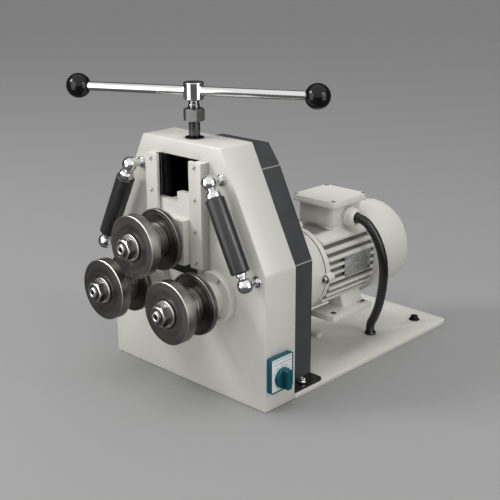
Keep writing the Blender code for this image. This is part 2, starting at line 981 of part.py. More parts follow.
def ring_profile(start, end, inner, outer, edge):
    """A bored disc between two depths, with its outer corners broken."""
    return [
        (start, inner),
        (start, outer - edge),
        (start + edge, outer),
        (end - edge, outer),
        (end, outer - edge),
        (end, inner),
    ]


def make_roll(prefix, side, height, shaft_end, finish):
    """One set of discs, spacers, shaft, washer and nut on a roll's axis."""
    at = base_point(side, 0, height)
    bore = shaft_radius + gap
    discs = {
        "front_disc": (front_disc_front, front_disc_back),
        "rear_disc": (rear_disc_front, rear_disc_front + rear_disc_thickness),
    }
    for name, (start, end) in discs.items():
        profile = ring_profile(start, end, bore, roll_radius, disc_edge)
        piece(f"{prefix}_{name}", turned("Y", profile, fine_steps), finish["steel"], at)

    start = front_disc_back + gap
    end = rear_disc_front - gap
    waist = (start + end - spacer_waist_width) / 2
    waist_end = waist + spacer_waist_width
    profile = [
        (start, bore),
        (start, spacer_radius),
        (waist, spacer_radius),
        (waist, spacer_waist_radius),
        (waist_end, spacer_waist_radius),
        (waist_end, spacer_radius),
        (end, spacer_radius),
        (end, bore),
    ]
    piece(prefix + "_spacer", turned("Y", profile, medium_steps), finish["steel"], at)

    nose_end = front_disc_front - nose_length
    collar_front = -roll_standoff + gap
    collar_back = min(shaft_end, collar_stop(side) - gap)
    profile = [
        (nose_end + nose_hole_depth, 0),
        (nose_end + nose_hole_depth, nose_hole_radius),
        (nose_end, nose_hole_radius),
        (nose_end, nose_radius - nose_edge),
        (nose_end + nose_edge, nose_radius),
        (front_disc_front, nose_radius),
        (front_disc_front, shaft_radius),
        (collar_front, shaft_radius),
        (collar_front, shaft_collar_radius),
        (collar_back, shaft_collar_radius),
        (collar_back, shaft_radius),
        (shaft_end, shaft_radius),
        (shaft_end, 0),
    ]
    piece(prefix + "_shaft", turned("Y", profile, medium_steps), finish["bright"], at)

    washer_back = front_disc_front - gap
    nut_back = washer_back - washer_thickness - gap
    inner = nose_radius + gap
    washer = [
        (washer_back - washer_thickness, inner),
        (washer_back - washer_thickness, washer_radius),
        (washer_back, washer_radius),
        (washer_back, inner),
    ]
    piece(prefix + "_washer", turned("Y", washer, medium_steps), finish["bright"], at)
    nut = extruded(
        "Y",
        hexagon(roll_nut_across, math.pi / 6),
        nut_back - roll_nut_height,
        roll_nut_height,
        [circle(inner, medium_steps)],
    )
    piece(prefix + "_nut", nut, finish["bright"], at)


def collar_stop(side):
    """The depth of the face that a roll shaft's collar runs against."""
    return -bearing_flange_thickness if side else pad_front


def make_rolls(finish):
    lower_shaft_end = housing_depth - gap
    make_roll("top_roll", 0, top_roll_height, lug_back - 2 * gap, finish)
    make_roll("left_roll", -roll_side, lower_roll_height, lower_shaft_end, finish)
    make_roll("right_roll", roll_side, lower_roll_height, reducer_start + roll_shaft_in_reducer, finish)

    for name, side in (("left", -1), ("right", 1)):
        at = base_point(side * roll_side, 0, lower_roll_height)
        inner = bearing_radius + gap
        boss_front = bearing_boss_clearance - roll_standoff
        profile = [
            (-gap, inner),
            (-gap, bearing_flange_radius),
            (bearing_flange_edge - bearing_flange_thickness, bearing_flange_radius),
            (-bearing_flange_thickness, bearing_flange_radius - bearing_flange_edge),
            (-bearing_flange_thickness, bearing_boss_radius),
            (boss_front + bearing_boss_edge, bearing_boss_radius),
            (boss_front, bearing_boss_radius - bearing_boss_edge),
            (boss_front, inner),
        ]
        piece("bearing_flange_" + name, turned("Y", profile, fine_steps), finish["cream"], at)
        piece(f"{name}_front_bearing", bearing(-bearing_width), finish["bright"], at)
        piece(f"{name}_rear_bearing", bearing(rear_plate_depth), finish["bright"], at)


# Gears


def make_gears(finish):
    to_right = math.atan2(idler_drop, roll_side)
    idler_phase = to_right
    bore = circle(shaft_radius + gap, medium_steps)
    mates = (("roll_gear_left", -1, math.pi - to_right), ("roll_gear_right", 1, to_right))
    for name, side, direction in mates:
        phase = meshed_phase(idler_phase, idler_teeth, roll_gear_teeth, direction)
        gear = extruded("Y", gear_outline(roll_gear_teeth, phase), gear_depth, gear_width, [bore])
        piece(name, gear, finish["steel"], base_point(side * roll_side, 0, lower_roll_height))

    at = base_point(0, 0, idler_height)
    idler = piece(
        "idler_gear",
        extruded("Y", gear_outline(idler_teeth, idler_phase), gear_depth, gear_width),
        finish["steel"],
        at,
    )
    start = front_wall + gap
    end = housing_depth - gap
    profile = [(start, 0), (start, idler_shaft_radius), (end, idler_shaft_radius), (end, 0)]
    combine(idler, helper("idler_shaft", turned("Y", profile, medium_steps), at), "UNION")


# Reducer and motor


def motor_point(depth):
    return base_point(roll_side, depth, lower_roll_height)


def make_reducer(finish):
    inner = shaft_radius + running_gap
    body_start = reducer_start + reducer_flange
    profile = [
        (reducer_start, inner),
        (reducer_start, reducer_flange_radius),
        (body_start, reducer_flange_radius),
        (body_start, reducer_radius),
        (reducer_back - reducer_edge, reducer_radius),
        (reducer_back, reducer_radius - reducer_edge),
        (reducer_back, inner),
    ]
    piece("reducer_housing", turned("Y", profile, fine_steps), finish["grey"], motor_point(0))


def shield_lugs(start, end):
    """The ears on the rim of the motor's front shield or frame."""
    ears = []
    for i in range(shield_lug_count):
        angle = first_shield_lug + i * 2 * math.pi / shield_lug_count
        place = (shield_radius * math.cos(angle), shield_radius * math.sin(angle))
        ears.append(extruded("Y", circle(shield_lug_radius, coarse_steps, place), start, end - start))
    return joined(ears)


def make_front_shield(finish):
    inner = motor_shaft_radius + running_gap
    at = motor_point(0)
    profile = [
        (shield_front - motor_spigot, inner),
        (shield_front - motor_spigot, motor_spigot_radius),
        (shield_front, motor_spigot_radius),
        (shield_front, shield_radius - shield_edge),
        (shield_front + shield_edge, shield_radius),
        (shield_end_depth, shield_radius),
        (shield_end_depth, inner),
    ]
    shield = piece("motor_front_shield", turned("Y", profile, fine_steps), finish["cream"], at)
    lugs = shield_lugs(shield_end_depth - shield_lug_length, shield_end_depth)
    combine(shield, helper("shield_lugs", lugs, at), "UNION")


def frame_outline():
    """The motor frame's section: a tube with level fins on both sides, upright ones below, a saddle above."""

    def tube_side(rise):
        return math.sqrt(frame_radius**2 - rise**2)

    half = fin_thickness / 2
    fin_reach = frame_radius + side_fin_depth
    fin_circle_radius = frame_radius + fin_depth
    side_fins = []
    for i in range(fin_count):
        middle = (i - (fin_count - 1) / 2) * fin_pitch
        tip = min(fin_reach, math.sqrt(fin_circle_radius**2 - (abs(middle) + half) ** 2))
        low = middle - half
        high = middle + half
        side_fins += [(tube_side(low), low), (tip, low), (tip, high), (tube_side(high), high)]
    bottom_fins = []
    for i in range(bottom_fin_count):
        middle = (i - (bottom_fin_count - 1) / 2) * fin_pitch
        tip = math.sqrt(fin_circle_radius**2 - (abs(middle) + half) ** 2)
        low = middle - half
        high = middle + half
        bottom_fins += [(low, -tube_side(low)), (low, -tip), (high, -tip), (high, -tube_side(high))]
    side_fins[-1] = (box_width / 2 - box_pad_inset, saddle_rise())
    left_fins = [(-across, up) for across, up in reversed(side_fins)]
    return side_fins + left_fins + bottom_fins


def saddle_rise():
    """The top of the frame beside the terminal box, low enough to clear the gland."""
    return gland_height - lower_roll_height - gland_base_radius - pad_gland_clearance


def make_motor_frame(finish):
    at = motor_point(0)
    collar_end = frame_start + frame_collar_length
    end = frame_end_depth + rear_shield
    rim = fan_cover_radius - fan_cover_sheet - gap
    rim_start = box_end_depth + gap
    frame = piece(
        "motor_frame",
        extruded("Y", frame_outline(), collar_end - overlap, frame_end_depth - collar_end + overlap),
        finish["cream"],
        at,
    )
    runout = []
    for i in range(blend_steps + 1):
        turn = i * math.pi / 2 / blend_steps
        rise = (frame_collar_radius - frame_radius) * (1 - math.sin(turn))
        runout.append((collar_end + groove_runout * (1 - math.cos(turn)), frame_radius + rise))
    collar = turned(
        "Y",
        [
            (frame_start, 0),
            (frame_start, frame_collar_radius),
            *runout,
            (collar_end + groove_runout, 0),
        ],
        fine_steps,
    )
    tail = turned(
        "Y",
        [
            (frame_end_depth - overlap, 0),
            (frame_end_depth - overlap, frame_radius),
            (rim_start, frame_radius),
            (rim_start, rim),
            (end, rim),
            (end, 0),
        ],
        fine_steps,
    )
    pad_half = box_width / 2 - box_pad_inset
    pad = extruded(
        "Y",
        rectangle(-pad_half, saddle_rise() - overlap, pad_half, box_pad_rise),
        box_depth - pad_half,
        2 * pad_half,
    )
    additions = {"collar": collar, "tail": tail, "box_pad": pad}
    additions["ears"] = shield_lugs(frame_start, collar_end)
    feet = []
    web_top = -frame_radius * math.cos(foot_web_meeting)
    web_start = foot_start_depth + foot_web_setback
    web_end = foot_end_depth - foot_web_end_inset
    for side in (-1, 1):
        inner = side * foot_inner
        outer = side * foot_half_span
        web_outer = side * (foot_half_span - foot_web_inset)
        web_inner = web_outer - side * foot_web_thickness
        sole = rectangle(inner, -shaft_height, outer, foot_thickness - shaft_height)
        length = foot_end_depth - foot_start_depth
        feet.append((f"sole_{side}", extruded("Y", sole, foot_start_depth, length)))
        web = [
            (web_inner, foot_thickness / 2 - shaft_height),
            (web_outer, foot_thickness / 2 - shaft_height),
            (web_outer - side * foot_web_lean, web_top),
            (side * foot_inner / 2, web_top),
        ]
        feet.append((f"web_{side}", extruded("Y", web, web_start, web_end - web_start)))
    for name, shape in [*additions.items(), *feet]:
        combine(frame, helper("frame_" + name, shape, at), "UNION")
    room = turned(
        "Y",
        [
            (frame_start - overrun, 0),
            (frame_start - overrun, frame_bore_radius),
            (frame_end_depth, frame_bore_radius),
            (frame_end_depth, motor_shaft_radius + running_gap),
            (end + overrun, motor_shaft_radius + running_gap),
            (end + overrun, 0),
        ],
        medium_steps,
    )
    holes = [
        extruded(
            "Z",
            circle(foot_hole_radius, coarse_steps, (side * foot_hole_side, depth)),
            -shaft_height - overrun,
            foot_thickness + 2 * overrun,
        )
        for side in (-1, 1)
        for depth in (foot_start_depth + foot_hole_inset, foot_end_depth - foot_hole_inset)
    ]
    combine(frame, helper("frame_room", room, at), "DIFFERENCE")
    combine(frame, helper("foot_holes", joined(holes), at), "DIFFERENCE")


def make_motor_inside(finish):
    at = motor_point(0)
    stator_end = stator_start_depth + stator_length
    stator_bore_radius = rotor_radius + air_gap
    profile = [
        (stator_start_depth, stator_bore_radius),
        (stator_start_depth, frame_bore_radius - gap),
        (stator_end, frame_bore_radius - gap),
        (stator_end, stator_bore_radius),
    ]
    piece("motor_stator", turned("Y", profile, medium_steps), finish["steel"], at)

    start = reducer_back - motor_shaft_in_reducer
    rotor_start = stator_start_depth + (stator_length - rotor_length) / 2
    rotor_end = rotor_start + rotor_length
    shaft_end = fan_start + fan_width
    profile = [
        (start, 0),
        (start, motor_shaft_radius),
        (rotor_start, motor_shaft_radius),
        (rotor_start, rotor_radius),
        (rotor_end, rotor_radius),
        (rotor_end, motor_shaft_radius),
        (shaft_end, motor_shaft_radius),
        (shaft_end, 0),
    ]
    piece("motor_rotor", turned("Y", profile, medium_steps), finish["steel"], at)

    outline = []
    half = fan_blade_thickness / 2
    for i in range(fan_blade_count):
        middle = i * 2 * math.pi / fan_blade_count
        for radius, side in ((fan_hub_radius, -1), (fan_radius, -1), (fan_radius, 1), (fan_hub_radius, 1)):
            angle = middle + side * math.asin(half / radius)
            outline.append((radius * math.cos(angle), radius * math.sin(angle)))
    bore = circle(motor_shaft_radius + gap, medium_steps)
    fan = extruded("Y", outline, fan_start, fan_width, [bore])
    piece("motor_fan", fan, finish["black"], at)


def make_fan_cover(finish):
    start = fan_cover_start_depth
    end = fan_cover_end_depth
    radius = fan_cover_radius
    inner = radius - fan_cover_sheet
    quarter = math.pi / 2

    def rounded(bend, back, outer, steps):
        middle = (back - bend, outer - bend)
        return arc(middle, bend, 0, quarter, steps)

    outside = rounded(fan_cover_round, end, radius, corner_steps)
    inside = rounded(fan_cover_round - fan_cover_sheet, end - fan_cover_sheet, inner, blend_steps)
    profile = [(end, 0), *outside, (start, radius), (start, inner), *reversed(inside)]
    profile.append((end - fan_cover_sheet, 0))
    cover = piece("fan_cover", turned("Y", profile, fine_steps), finish["cream"], motor_point(0))
    slots = []
    for i in range(grille_slot_count):
        angle = i * 2 * math.pi / grille_slot_count
        along = Vector((math.cos(angle), math.sin(angle)))
        across = Vector((-along.y, along.x)) * grille_slot_width / 2
        near = along * grille_inner_radius
        far = along * (radius - fan_cover_round - grille_margin)
        outline = [tuple(near - across), tuple(far - across), tuple(far + across), tuple(near + across)]
        depth = fan_cover_sheet + 2 * overrun
        slots.append(extruded("Y", outline, end - fan_cover_sheet - overrun, depth))
    combine(cover, helper("grille_slots", joined(slots), motor_point(0)), "DIFFERENCE")


# Terminal box and conduit


def make_terminal_box(finish):
    centre = (roll_side, front_y + box_depth)
    bottom = box_bottom
    top = bottom + box_height
    outline = rounded_rectangle(box_width, box_width, box_corner, centre)
    box = piece("terminal_box", extruded("Z", outline, bottom, box_height), finish["cream"])
    inner = box_width - 2 * box_wall
    room = extruded(
        "Z",
        rounded_rectangle(inner, inner, box_corner - box_wall, centre),
        bottom + box_wall,
        box_height,
    )
    combine(box, helper("box_room", room, (0, 0, 0)), "DIFFERENCE")
    wall = roll_side + box_width / 2
    entry = turned(
        "X",
        [
            (wall - box_wall - overrun, 0),
            (wall - box_wall - overrun, conduit_radius + gap),
            (wall + overrun, conduit_radius + gap),
            (wall + overrun, 0),
        ],
        coarse_steps,
    )
    combine(box, helper("conduit_entry", entry, base_point(0, box_depth, gland_height)), "DIFFERENCE")

    lid_bottom = top + gap
    rim_width = box_width + 2 * lid_overhang
    rim = rounded_rectangle(rim_width, rim_width, lid_corner, centre)
    crown_width = rim_width - 2 * lid_step
    crown = rounded_rectangle(crown_width, crown_width, lid_corner - lid_step, centre)
    crown_bottom = lid_bottom + lid_rim_thickness - overlap
    crown_height = lid_bottom + lid_thickness - crown_bottom
    cap = extruded("Z", crown, crown_bottom, crown_height, soften=True)
    lid = piece("terminal_lid", cap, finish["cream"])
    soften_edges(lid, lid_edge, segments=1)
    lid_rim = extruded("Z", rim, lid_bottom, lid_rim_thickness)
    combine(lid, helper("lid_rim", lid_rim, (0, 0, 0)), "UNION")

    start = wall + gap
    base_end = start + gland_base_length
    end = start + gland_length
    inner = conduit_radius + gap
    profile = [
        (start, inner),
        (start, gland_base_radius),
        (base_end, gland_base_radius),
        (base_end, gland_cap_radius),
        (end - gland_cap_edge, gland_cap_radius),
        (end, gland_cap_radius - gland_cap_edge),
        (end, inner),
    ]
    gland = turned("X", profile, medium_steps)
    piece("cable_gland", gland, finish["cream"], base_point(0, box_depth, gland_height))


def conduit_route():
    """The conduit's own points: out of the gland, down beside the motor, into the base plate."""
    wall = roll_side + box_width / 2
    mouth = wall + gap + gland_length
    start = base_point(mouth - conduit_in_gland, box_depth, gland_height)
    straight = 2 * conduit_radius
    leaving = start + Vector((conduit_in_gland, 0, 0))
    foot = base_point(conduit_foot_side, conduit_foot_depth, plate_thickness / 2)
    landing = foot + Vector((0, 0, straight + plate_thickness))
    between = [base_point(side * mm, depth * mm, height * mm) for side, depth, height in conduit_way]
    return start, leaving, between, landing, foot


def smooth_curve(points, spacing):
    """Points at an even spacing on a smooth curve through the given ones."""
    ends = [2 * points[0] - points[1], *points, 2 * points[-1] - points[-2]]
    dense = []
    per_span = 24
    for first, second, third, fourth in zip(ends, ends[1:], ends[2:], ends[3:]):
        for i in range(per_span):
            t = i / per_span
            dense.append(
                0.5
                * (
                    2 * second
                    + (third - first) * t
                    + (2 * first - 5 * second + 4 * third - fourth) * t**2
                    + (3 * second - first - 3 * third + fourth) * t**3
                )
            )
    dense.append(points[-1])
    travelled = [0]
    for near, far in zip(dense, dense[1:]):
        travelled.append(travelled[-1] + (far - near).length)
    count = max(2, round(travelled[-1] / spacing))
    result = []
    at = 0
    for i in range(count + 1):
        wanted = travelled[-1] * i / count
        while at < len(dense) - 2 and travelled[at + 1] < wanted:
            at += 1
        span = travelled[at + 1] - travelled[at]
        share = (wanted - travelled[at]) / span
        result.append(dense[at].lerp(dense[at + 1], min(1, share)))
    return result


def tube_mesh(name, points, radii, resolution):
    """A closed tube along points, with its own radius at each."""
    drawing = bpy.data.curves.new(name, "CURVE")
    drawing.dimensions = "3D"
    drawing.bevel_depth = 1
    drawing.bevel_resolution = resolution
    drawing.use_fill_caps = True
    line = drawing.splines.new("POLY")
    line.points.add(len(points) - 1)
    for slot, place, radius in zip(line.points, points, radii):
        slot.co = (*place, 1)
        slot.radius = radius
    guide = bpy.data.objects.new(name, drawing)
    bpy.context.scene.collection.objects.link(guide)
    seen = guide.evaluated_get(bpy.context.evaluated_depsgraph_get())
    mesh = bpy.data.meshes.new_from_object(seen)
    shape = bmesh.new()
    shape.from_mesh(mesh)
    bmesh.ops.remove_doubles(shape, verts=shape.verts, dist=merge_distance)
    bpy.data.objects.remove(guide)
    bpy.data.curves.remove(drawing)
    bpy.data.meshes.remove(mesh)
    return shape


def make_conduit(finish):
    start, leaving, between, landing, foot = conduit_route()
    middle = smooth_curve([leaving, *between, landing], conduit_rib_pitch / 2)
    route = [start, *middle, foot]
    radii = [conduit_root_radius if i % 2 else conduit_radius for i in range(len(middle))]
    radii = [conduit_radius, *radii, conduit_radius]
    radii[-2] = conduit_radius
    conduit = piece(
        "motor_conduit", tube_mesh("conduit_line", route, radii, 2), finish["conduit"]
    )
    plain = smooth_curve([leaving, *between, landing], 4 * conduit_rib_pitch)
    past_start = start - Vector((overrun, 0, 0))
    past_foot = foot - Vector((0, 0, overrun))
    bore_route = [past_start, *plain, past_foot]
    bore = tube_mesh("bore_line", bore_route, [conduit_bore_radius] * len(bore_route), 2)
    combine(conduit, helper("conduit_bore", bore, (0, 0, 0)), "DIFFERENCE")


# Switch


def make_switch(finish):
    face = plate_width / 2 + gap
    centre = (front_y + switch_depth, switch_middle_height)
    outline = rounded_rectangle(switch_width, switch_height, switch_corner, centre)
    body = piece("switch_body", extruded("X", outline, face, switch_thickness), finish["teal"])
    floor = face + switch_thickness - switch_recess
    opening = rectangle(
        centre[0] - switch_width / 2 + switch_rim,
        centre[1] - switch_height / 2 + switch_rim,
        centre[0] + switch_width / 2 - switch_rim,
        centre[1] + switch_height / 2 - switch_rim,
    )
    recess = extruded("X", opening, floor, switch_recess + overrun)
    combine(body, helper("switch_recess", recess, (0, 0, 0)), "DIFFERENCE")

    at = Vector((0, centre[0], centre[1] - knob_drop))
    hole_floor = face + switch_thickness - switch_hole_depth
    hole_radius = knob_spindle_radius + running_gap
    hole = turned(
        "X",
        [
            (hole_floor, 0),
            (hole_floor, hole_radius),
            (floor + overrun, hole_radius),
            (floor + overrun, 0),
        ],
        coarse_steps,
    )
    combine(body, helper("knob_hole", hole, at), "DIFFERENCE")

    seat = floor + knob_rise
    top = seat + knob_base_thickness
    profile = [
        (hole_floor + gap, 0),
        (hole_floor + gap, knob_spindle_radius),
        (seat, knob_spindle_radius),
        (seat, knob_base_radius),
        (top - knob_edge, knob_base_radius),
        (top, knob_base_radius - knob_edge),
        (top, 0),
    ]
    knob = piece("switch_knob", turned("X", profile, medium_steps), finish["teal"], at)
    grip_corner = knob_grip_width * knob_grip_corner_share
    grip_outline = rounded_rectangle(knob_grip_width, knob_grip_length, grip_corner)
    grip = extruded("X", grip_outline, top - overlap, knob_grip_height + overlap)
    combine(knob, helper("knob_grip", grip, at), "UNION")


# Side guide rollers


def make_guides(finish):
    for side in (-1, 1):
        upper = base_point(side * guide_top_side, -guide_reach, guide_top_height)
        lower = base_point(side * guide_bottom_side, -guide_reach, guide_bottom_height)
        along = (lower - upper).normalized()
        length = (lower - upper).length
        turn = Vector((0, 0, 1)).rotation_difference(along)
        suffix = "left" if side < 0 else "right"

        start = guide_cap_start + guide_cap_length
        end = length - guide_cap_start - guide_foot_length
        cap_edge = guide_cap_radius * cap_taper_share
        rod_profile = [
            (0, 0),
            (0, guide_rod_radius),
            (guide_cap_start, guide_rod_radius),
            (guide_cap_start, cap_edge),
            (guide_cap_start + guide_cap_length / 2, guide_cap_radius),
            (start, guide_cap_radius),
            (start, guide_rod_radius),
            (end, guide_rod_radius),
            (end, guide_foot_radius),
            (end + guide_foot_length, guide_foot_radius),
            (end + guide_foot_length, guide_rod_radius),
            (length, guide_rod_radius),
            (length, 0),
        ]
        rod = turned("Z", rod_profile, coarse_steps)
        rod.transform(turn.to_matrix().to_4x4())
        rail = piece("guide_rail_" + suffix, moved(rod, upper), finish["chrome"])
        posts = joined([guide_post(upper), guide_post(lower)])
        combine(rail, helper(f"guide_posts_{suffix}", posts, (0, 0, 0)), "UNION")

        bore = guide_rod_radius + running_gap
        sleeve_profile = [
            (start + gap, bore),
            (start + gap, sleeve_radius),
            (end - gap, sleeve_radius),
            (end - gap, bore),
        ]
        sleeve = turned("Z", sleeve_profile, medium_steps)
        roller = piece("guide_sleeve_" + suffix, sleeve, finish["sleeve"], upper)
        roller.rotation_mode = "QUATERNION"
        roller.rotation_quaternion = turn


def guide_post(at):
    """A stud with a ring at the housing and a ball in front."""
    face = guide_reach - gap
    opening = math.asin(guide_stud_radius / guide_ball_radius)
    profile = []
    for i in range(ball_steps + 1):
        angle = math.pi - (math.pi - opening) * i / ball_steps
        profile.append((guide_ball_radius * math.cos(angle), guide_ball_radius * math.sin(angle)))
    profile[0] = (-guide_ball_radius, 0)
    profile += [
        (face - guide_ring_thickness, guide_stud_radius),
        (face - guide_ring_thickness, guide_ring_radius),
        (face, guide_ring_radius),
        (face, 0),
    ]
    return moved(turned("Y", profile, coarse_steps), at)


def main():
    for item in list(bpy.data.objects):
        bpy.data.objects.remove(item)
    finish = make_finishes()
    make_base(finish)
    make_housing(finish)
    make_sheet_cover(finish)
    make_gibs(finish)
    make_carriage(finish)
    make_spindle(finish)
    make_rolls(finish)
    make_gears(finish)
    make_reducer(finish)
    make_front_shield(finish)
    make_motor_frame(finish)
    make_motor_inside(finish)
    make_fan_cover(finish)
    make_terminal_box(finish)
    make_conduit(finish)
    make_switch(finish)
    make_guides(finish)


main()
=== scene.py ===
"""Pipe bending machine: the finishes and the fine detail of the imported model.

It is laid out as an add-on. Each operator dresses one group of pieces: a plain solid is either
given its finish or replaced by a fuller piece in the same place. All lengths are in metres, +Z is
up, and +X is to the right of someone who faces the rolls.
"""

import json
import math

import bmesh
import bpy
from bpy.props import FloatProperty, FloatVectorProperty, IntProperty, PointerProperty
from mathutils import Matrix, Vector


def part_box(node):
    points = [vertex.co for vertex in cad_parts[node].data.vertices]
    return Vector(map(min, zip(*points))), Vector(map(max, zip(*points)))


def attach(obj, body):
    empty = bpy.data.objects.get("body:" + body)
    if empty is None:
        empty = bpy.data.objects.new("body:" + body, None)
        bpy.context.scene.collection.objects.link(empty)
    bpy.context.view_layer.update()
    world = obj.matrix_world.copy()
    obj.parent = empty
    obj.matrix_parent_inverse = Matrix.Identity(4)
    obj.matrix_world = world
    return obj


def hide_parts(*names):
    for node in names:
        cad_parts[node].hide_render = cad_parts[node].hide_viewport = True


bl_info = {
    "name": "Pipe Bending Machine",
    "version": (1, 0, 0),
    "blender": (4, 5, 0),
    "location": "3D View > Sidebar > Pipe Bender",
    "description": "Finishes and fine detail for a pipe bending machine with three rolls",
    "category": "Add Mesh",
}

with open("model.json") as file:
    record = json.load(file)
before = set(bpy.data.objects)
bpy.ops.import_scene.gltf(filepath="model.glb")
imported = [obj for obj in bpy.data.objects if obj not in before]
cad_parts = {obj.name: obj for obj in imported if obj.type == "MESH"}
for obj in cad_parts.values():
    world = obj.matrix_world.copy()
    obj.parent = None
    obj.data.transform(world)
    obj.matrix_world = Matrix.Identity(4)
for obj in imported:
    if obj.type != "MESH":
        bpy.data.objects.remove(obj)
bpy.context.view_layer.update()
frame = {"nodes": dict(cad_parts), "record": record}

mm = 0.001
X = Vector((1, 0, 0))
Y = Vector((0, 1, 0))
Z = Vector((0, 0, 1))
MACHINE = "machine"
SHARP = 35.0
STRAIGHT = math.radians(178)

# Sizes of the solids that their boxes don't give
BASE_THICKNESS = 8 * mm
HOUSING_WALL = 8 * mm
HOUSING_KNEE = 224 * mm
HOUSING_SHOULDER = 89.2 * mm
COVER_SHOULDER = Vector((77.6 * mm, 0, 354 * mm))
LIP_WIDTH = 9.3 * mm
FLANGE_THICKNESS = 12 * mm

# Height of the strip of wall below the guide strips that is painted dark as shade
PAINTED_SHADE_STRIP = 22 * mm


# Sizes and colours


def number(name, description, default, **kind):
    return FloatProperty(name=name, description=description, default=default, **kind)


def length(name, description, default, least=0):
    return number(name, description, default, unit="LENGTH", precision=5, min=least)


def watts(name, description, default):
    return number(name, description, default, unit="POWER", min=0)


def degrees(name, description, default):
    return number(name, description, math.radians(default), subtype="ANGLE")


def vector(name, description, default, **kind):
    return FloatVectorProperty(name=name, description=description, default=default, size=3, **kind)


def colour(name, description, default):
    return vector(name, description, default, subtype="COLOR", min=0, max=1)


class BenderPaints(bpy.types.PropertyGroup):
    cream: colour("Cream enamel", "Paint of the housing, base and motor", (0.66, 0.65, 0.6))
    grey: colour("Grey enamel", "Paint of the sheet cover and the reducer", (0.039, 0.041, 0.043))
    # Near black of the painted shade in the housing's slot and hollow, and also the black of
    # blackened steel
    inside: colour("Inside", "Blackened inside of the housing", (0.012, 0.012, 0.012))
    rolls: colour("Roll steel", "Burnished steel of the rolls", (0.15, 0.143, 0.133))
    bright: colour("Bright steel", "Nuts, washers and shafts", (0.52, 0.51, 0.49))
    chrome: colour("Chrome", "Plating of the cross bar and side guides", (0.7, 0.7, 0.7))
    thread: colour("Thread", "Blackened thread of the hand screw", (0.09, 0.09, 0.09))
    gears: colour("Gears", "Gears, stator and rotor", (0.35, 0.34, 0.33))
    black_plastic: colour("Black plastic", "Ball knobs and fan", (0.004, 0.004, 0.005))
    sleeve: colour("Sleeve", "Tubes of the side guides", (0.022, 0.022, 0.024))
    teal: colour("Teal plastic", "Switch body and handle", (0.0, 0.085, 0.115))
    face: colour("Switch face", "Printed plate of the switch", (0.72, 0.74, 0.75))
    print_ink: colour("Print", "Marks on the switch face", (0.07, 0.07, 0.1))
    hose: colour("Hose", "Ribbed hose between motor and base", (0.007, 0.007, 0.007))
    plate: colour("Plate metal", "Bare rating plate", (0.36, 0.36, 0.35))
    foot: colour("Cover feet", "Black enamel of the cover's feet", (0.01, 0.01, 0.01))
    # Pale colour of the beads on the cover's bends, a painted highlight
    seam: colour("Seam", "Filled joint along the cover's bend", (0.3, 0.31, 0.31))
    # Near black of the painted shade along the cover's edges and on the hand screw's core
    joint: colour("Joint", "Dark joints between pieces", (0.002, 0.002, 0.002))
    # Black of dark rivets, screws and joints, and painted shade in screw gaps, sockets, recesses
    # and holes
    slot: colour("Slot", "Slots, sockets and rims of the screws", (0.03, 0.03, 0.028))


class BenderSizes(bpy.types.PropertyGroup):
    edge: length("Edge", "Rounding of cast and milled edges", 0.8 * mm)
    sheet_edge: length("Sheet edge", "Rounding of sheet metal edges", 0.5 * mm)
    turned_edge: length("Turned edge", "Broken edge of turned pieces", 0.5 * mm)
    thread_pitch: length("Thread pitch", "Rise of the hand screw for each turn", 4 * mm, mm)
    thread_depth: length("Thread depth", "Depth of the hand screw's thread", 1.9 * mm)
    slotted_head: length("Slotted head", "Radius of the slotted screw heads", 3.4 * mm, mm)
    rib_pitch: length("Rib pitch", "Distance between the hose's ribs", 4 * mm, mm)
    rib_depth: length("Rib depth", "Depth of the hose's ribs", 0.5 * mm)
    turned_steps: IntProperty(
        name="Turned steps", description="Facets round a turned piece", default=96, min=24
    )


class BenderStage(bpy.types.PropertyGroup):
    floor: colour("Floor", "Colour of the floor", (0.29, 0.29, 0.29))
    floor_light: colour("Floor light", "Light that the floor gives back", (0.5, 0.5, 0.5))
    world_strength: number("World light", "Strength of the even light", 0.6, min=0)
    key_power: watts("Key light", "Power of the lamp at the front left", 56)
    top_power: watts("Top light", "Power of the large lamp overhead", 42)
    fill_power: watts("Fill light", "Power of the lamp at the right", 8)
    card_power: watts("Card light", "Power of the two cards that the plating mirrors", 4.5)
    camera_lens: number("Lens", "Focal length on a 36 mm sensor", 70.3, min=1)
    camera_azimuth: degrees("Azimuth", "Camera's angle round the machine", 43.781)
    camera_elevation: degrees("Elevation", "Camera's angle above the floor", 17.986)
    camera_roll: degrees("Roll", "Camera's tilt", -0.267)
    camera_place: vector(
        "Place", "Where the camera stands", (1.1053, -1.2533, 0.7092), subtype="TRANSLATION"
    )


def paints():
    return bpy.context.scene.bender_paints


def sizes():
    return bpy.context.scene.bender_sizes


# Places taken from the solids


def low(node):
    return Vector(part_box(node)[0])


def high(node):
    return Vector(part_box(node)[1])


def centre(node):
    return (low(node) + high(node)) / 2


def span(node):
    return high(node) - low(node)


def depths(node):
    """The front and the back of a solid."""
    return low(node).y, high(node).y


def axis_of(node):
    """The axis of a piece that is turned along Y, at the depth zero."""
    middle = centre(node)
    return Vector((middle.x, 0, middle.z))


def screw_axis(height=0.0):
    middle = centre("spindle_hub")
    return Vector((middle.x, middle.y, height))


# Finishes


class Wiring:
    """The nodes of one tree, made and linked by short calls."""

    def __init__(self, tree):
        self.nodes = tree.nodes
        self.links = tree.links

    def node(self, kind, values=None, **settings):
        made = self.nodes.new(kind)
        for name, value in settings.items():
            setattr(made, name, value)
        for name, value in (values or {}).items():
            self.feed(made.inputs[name], value)
        return made

    def feed(self, socket, value):
        if isinstance(value, bpy.types.NodeSocket):
            self.links.new(value, socket)
        else:
            socket.default_value = value

    def math(self, operation, first, second=0.0):
        return self.node("ShaderNodeMath", {0: first, 1: second}, operation=operation).outputs[0]


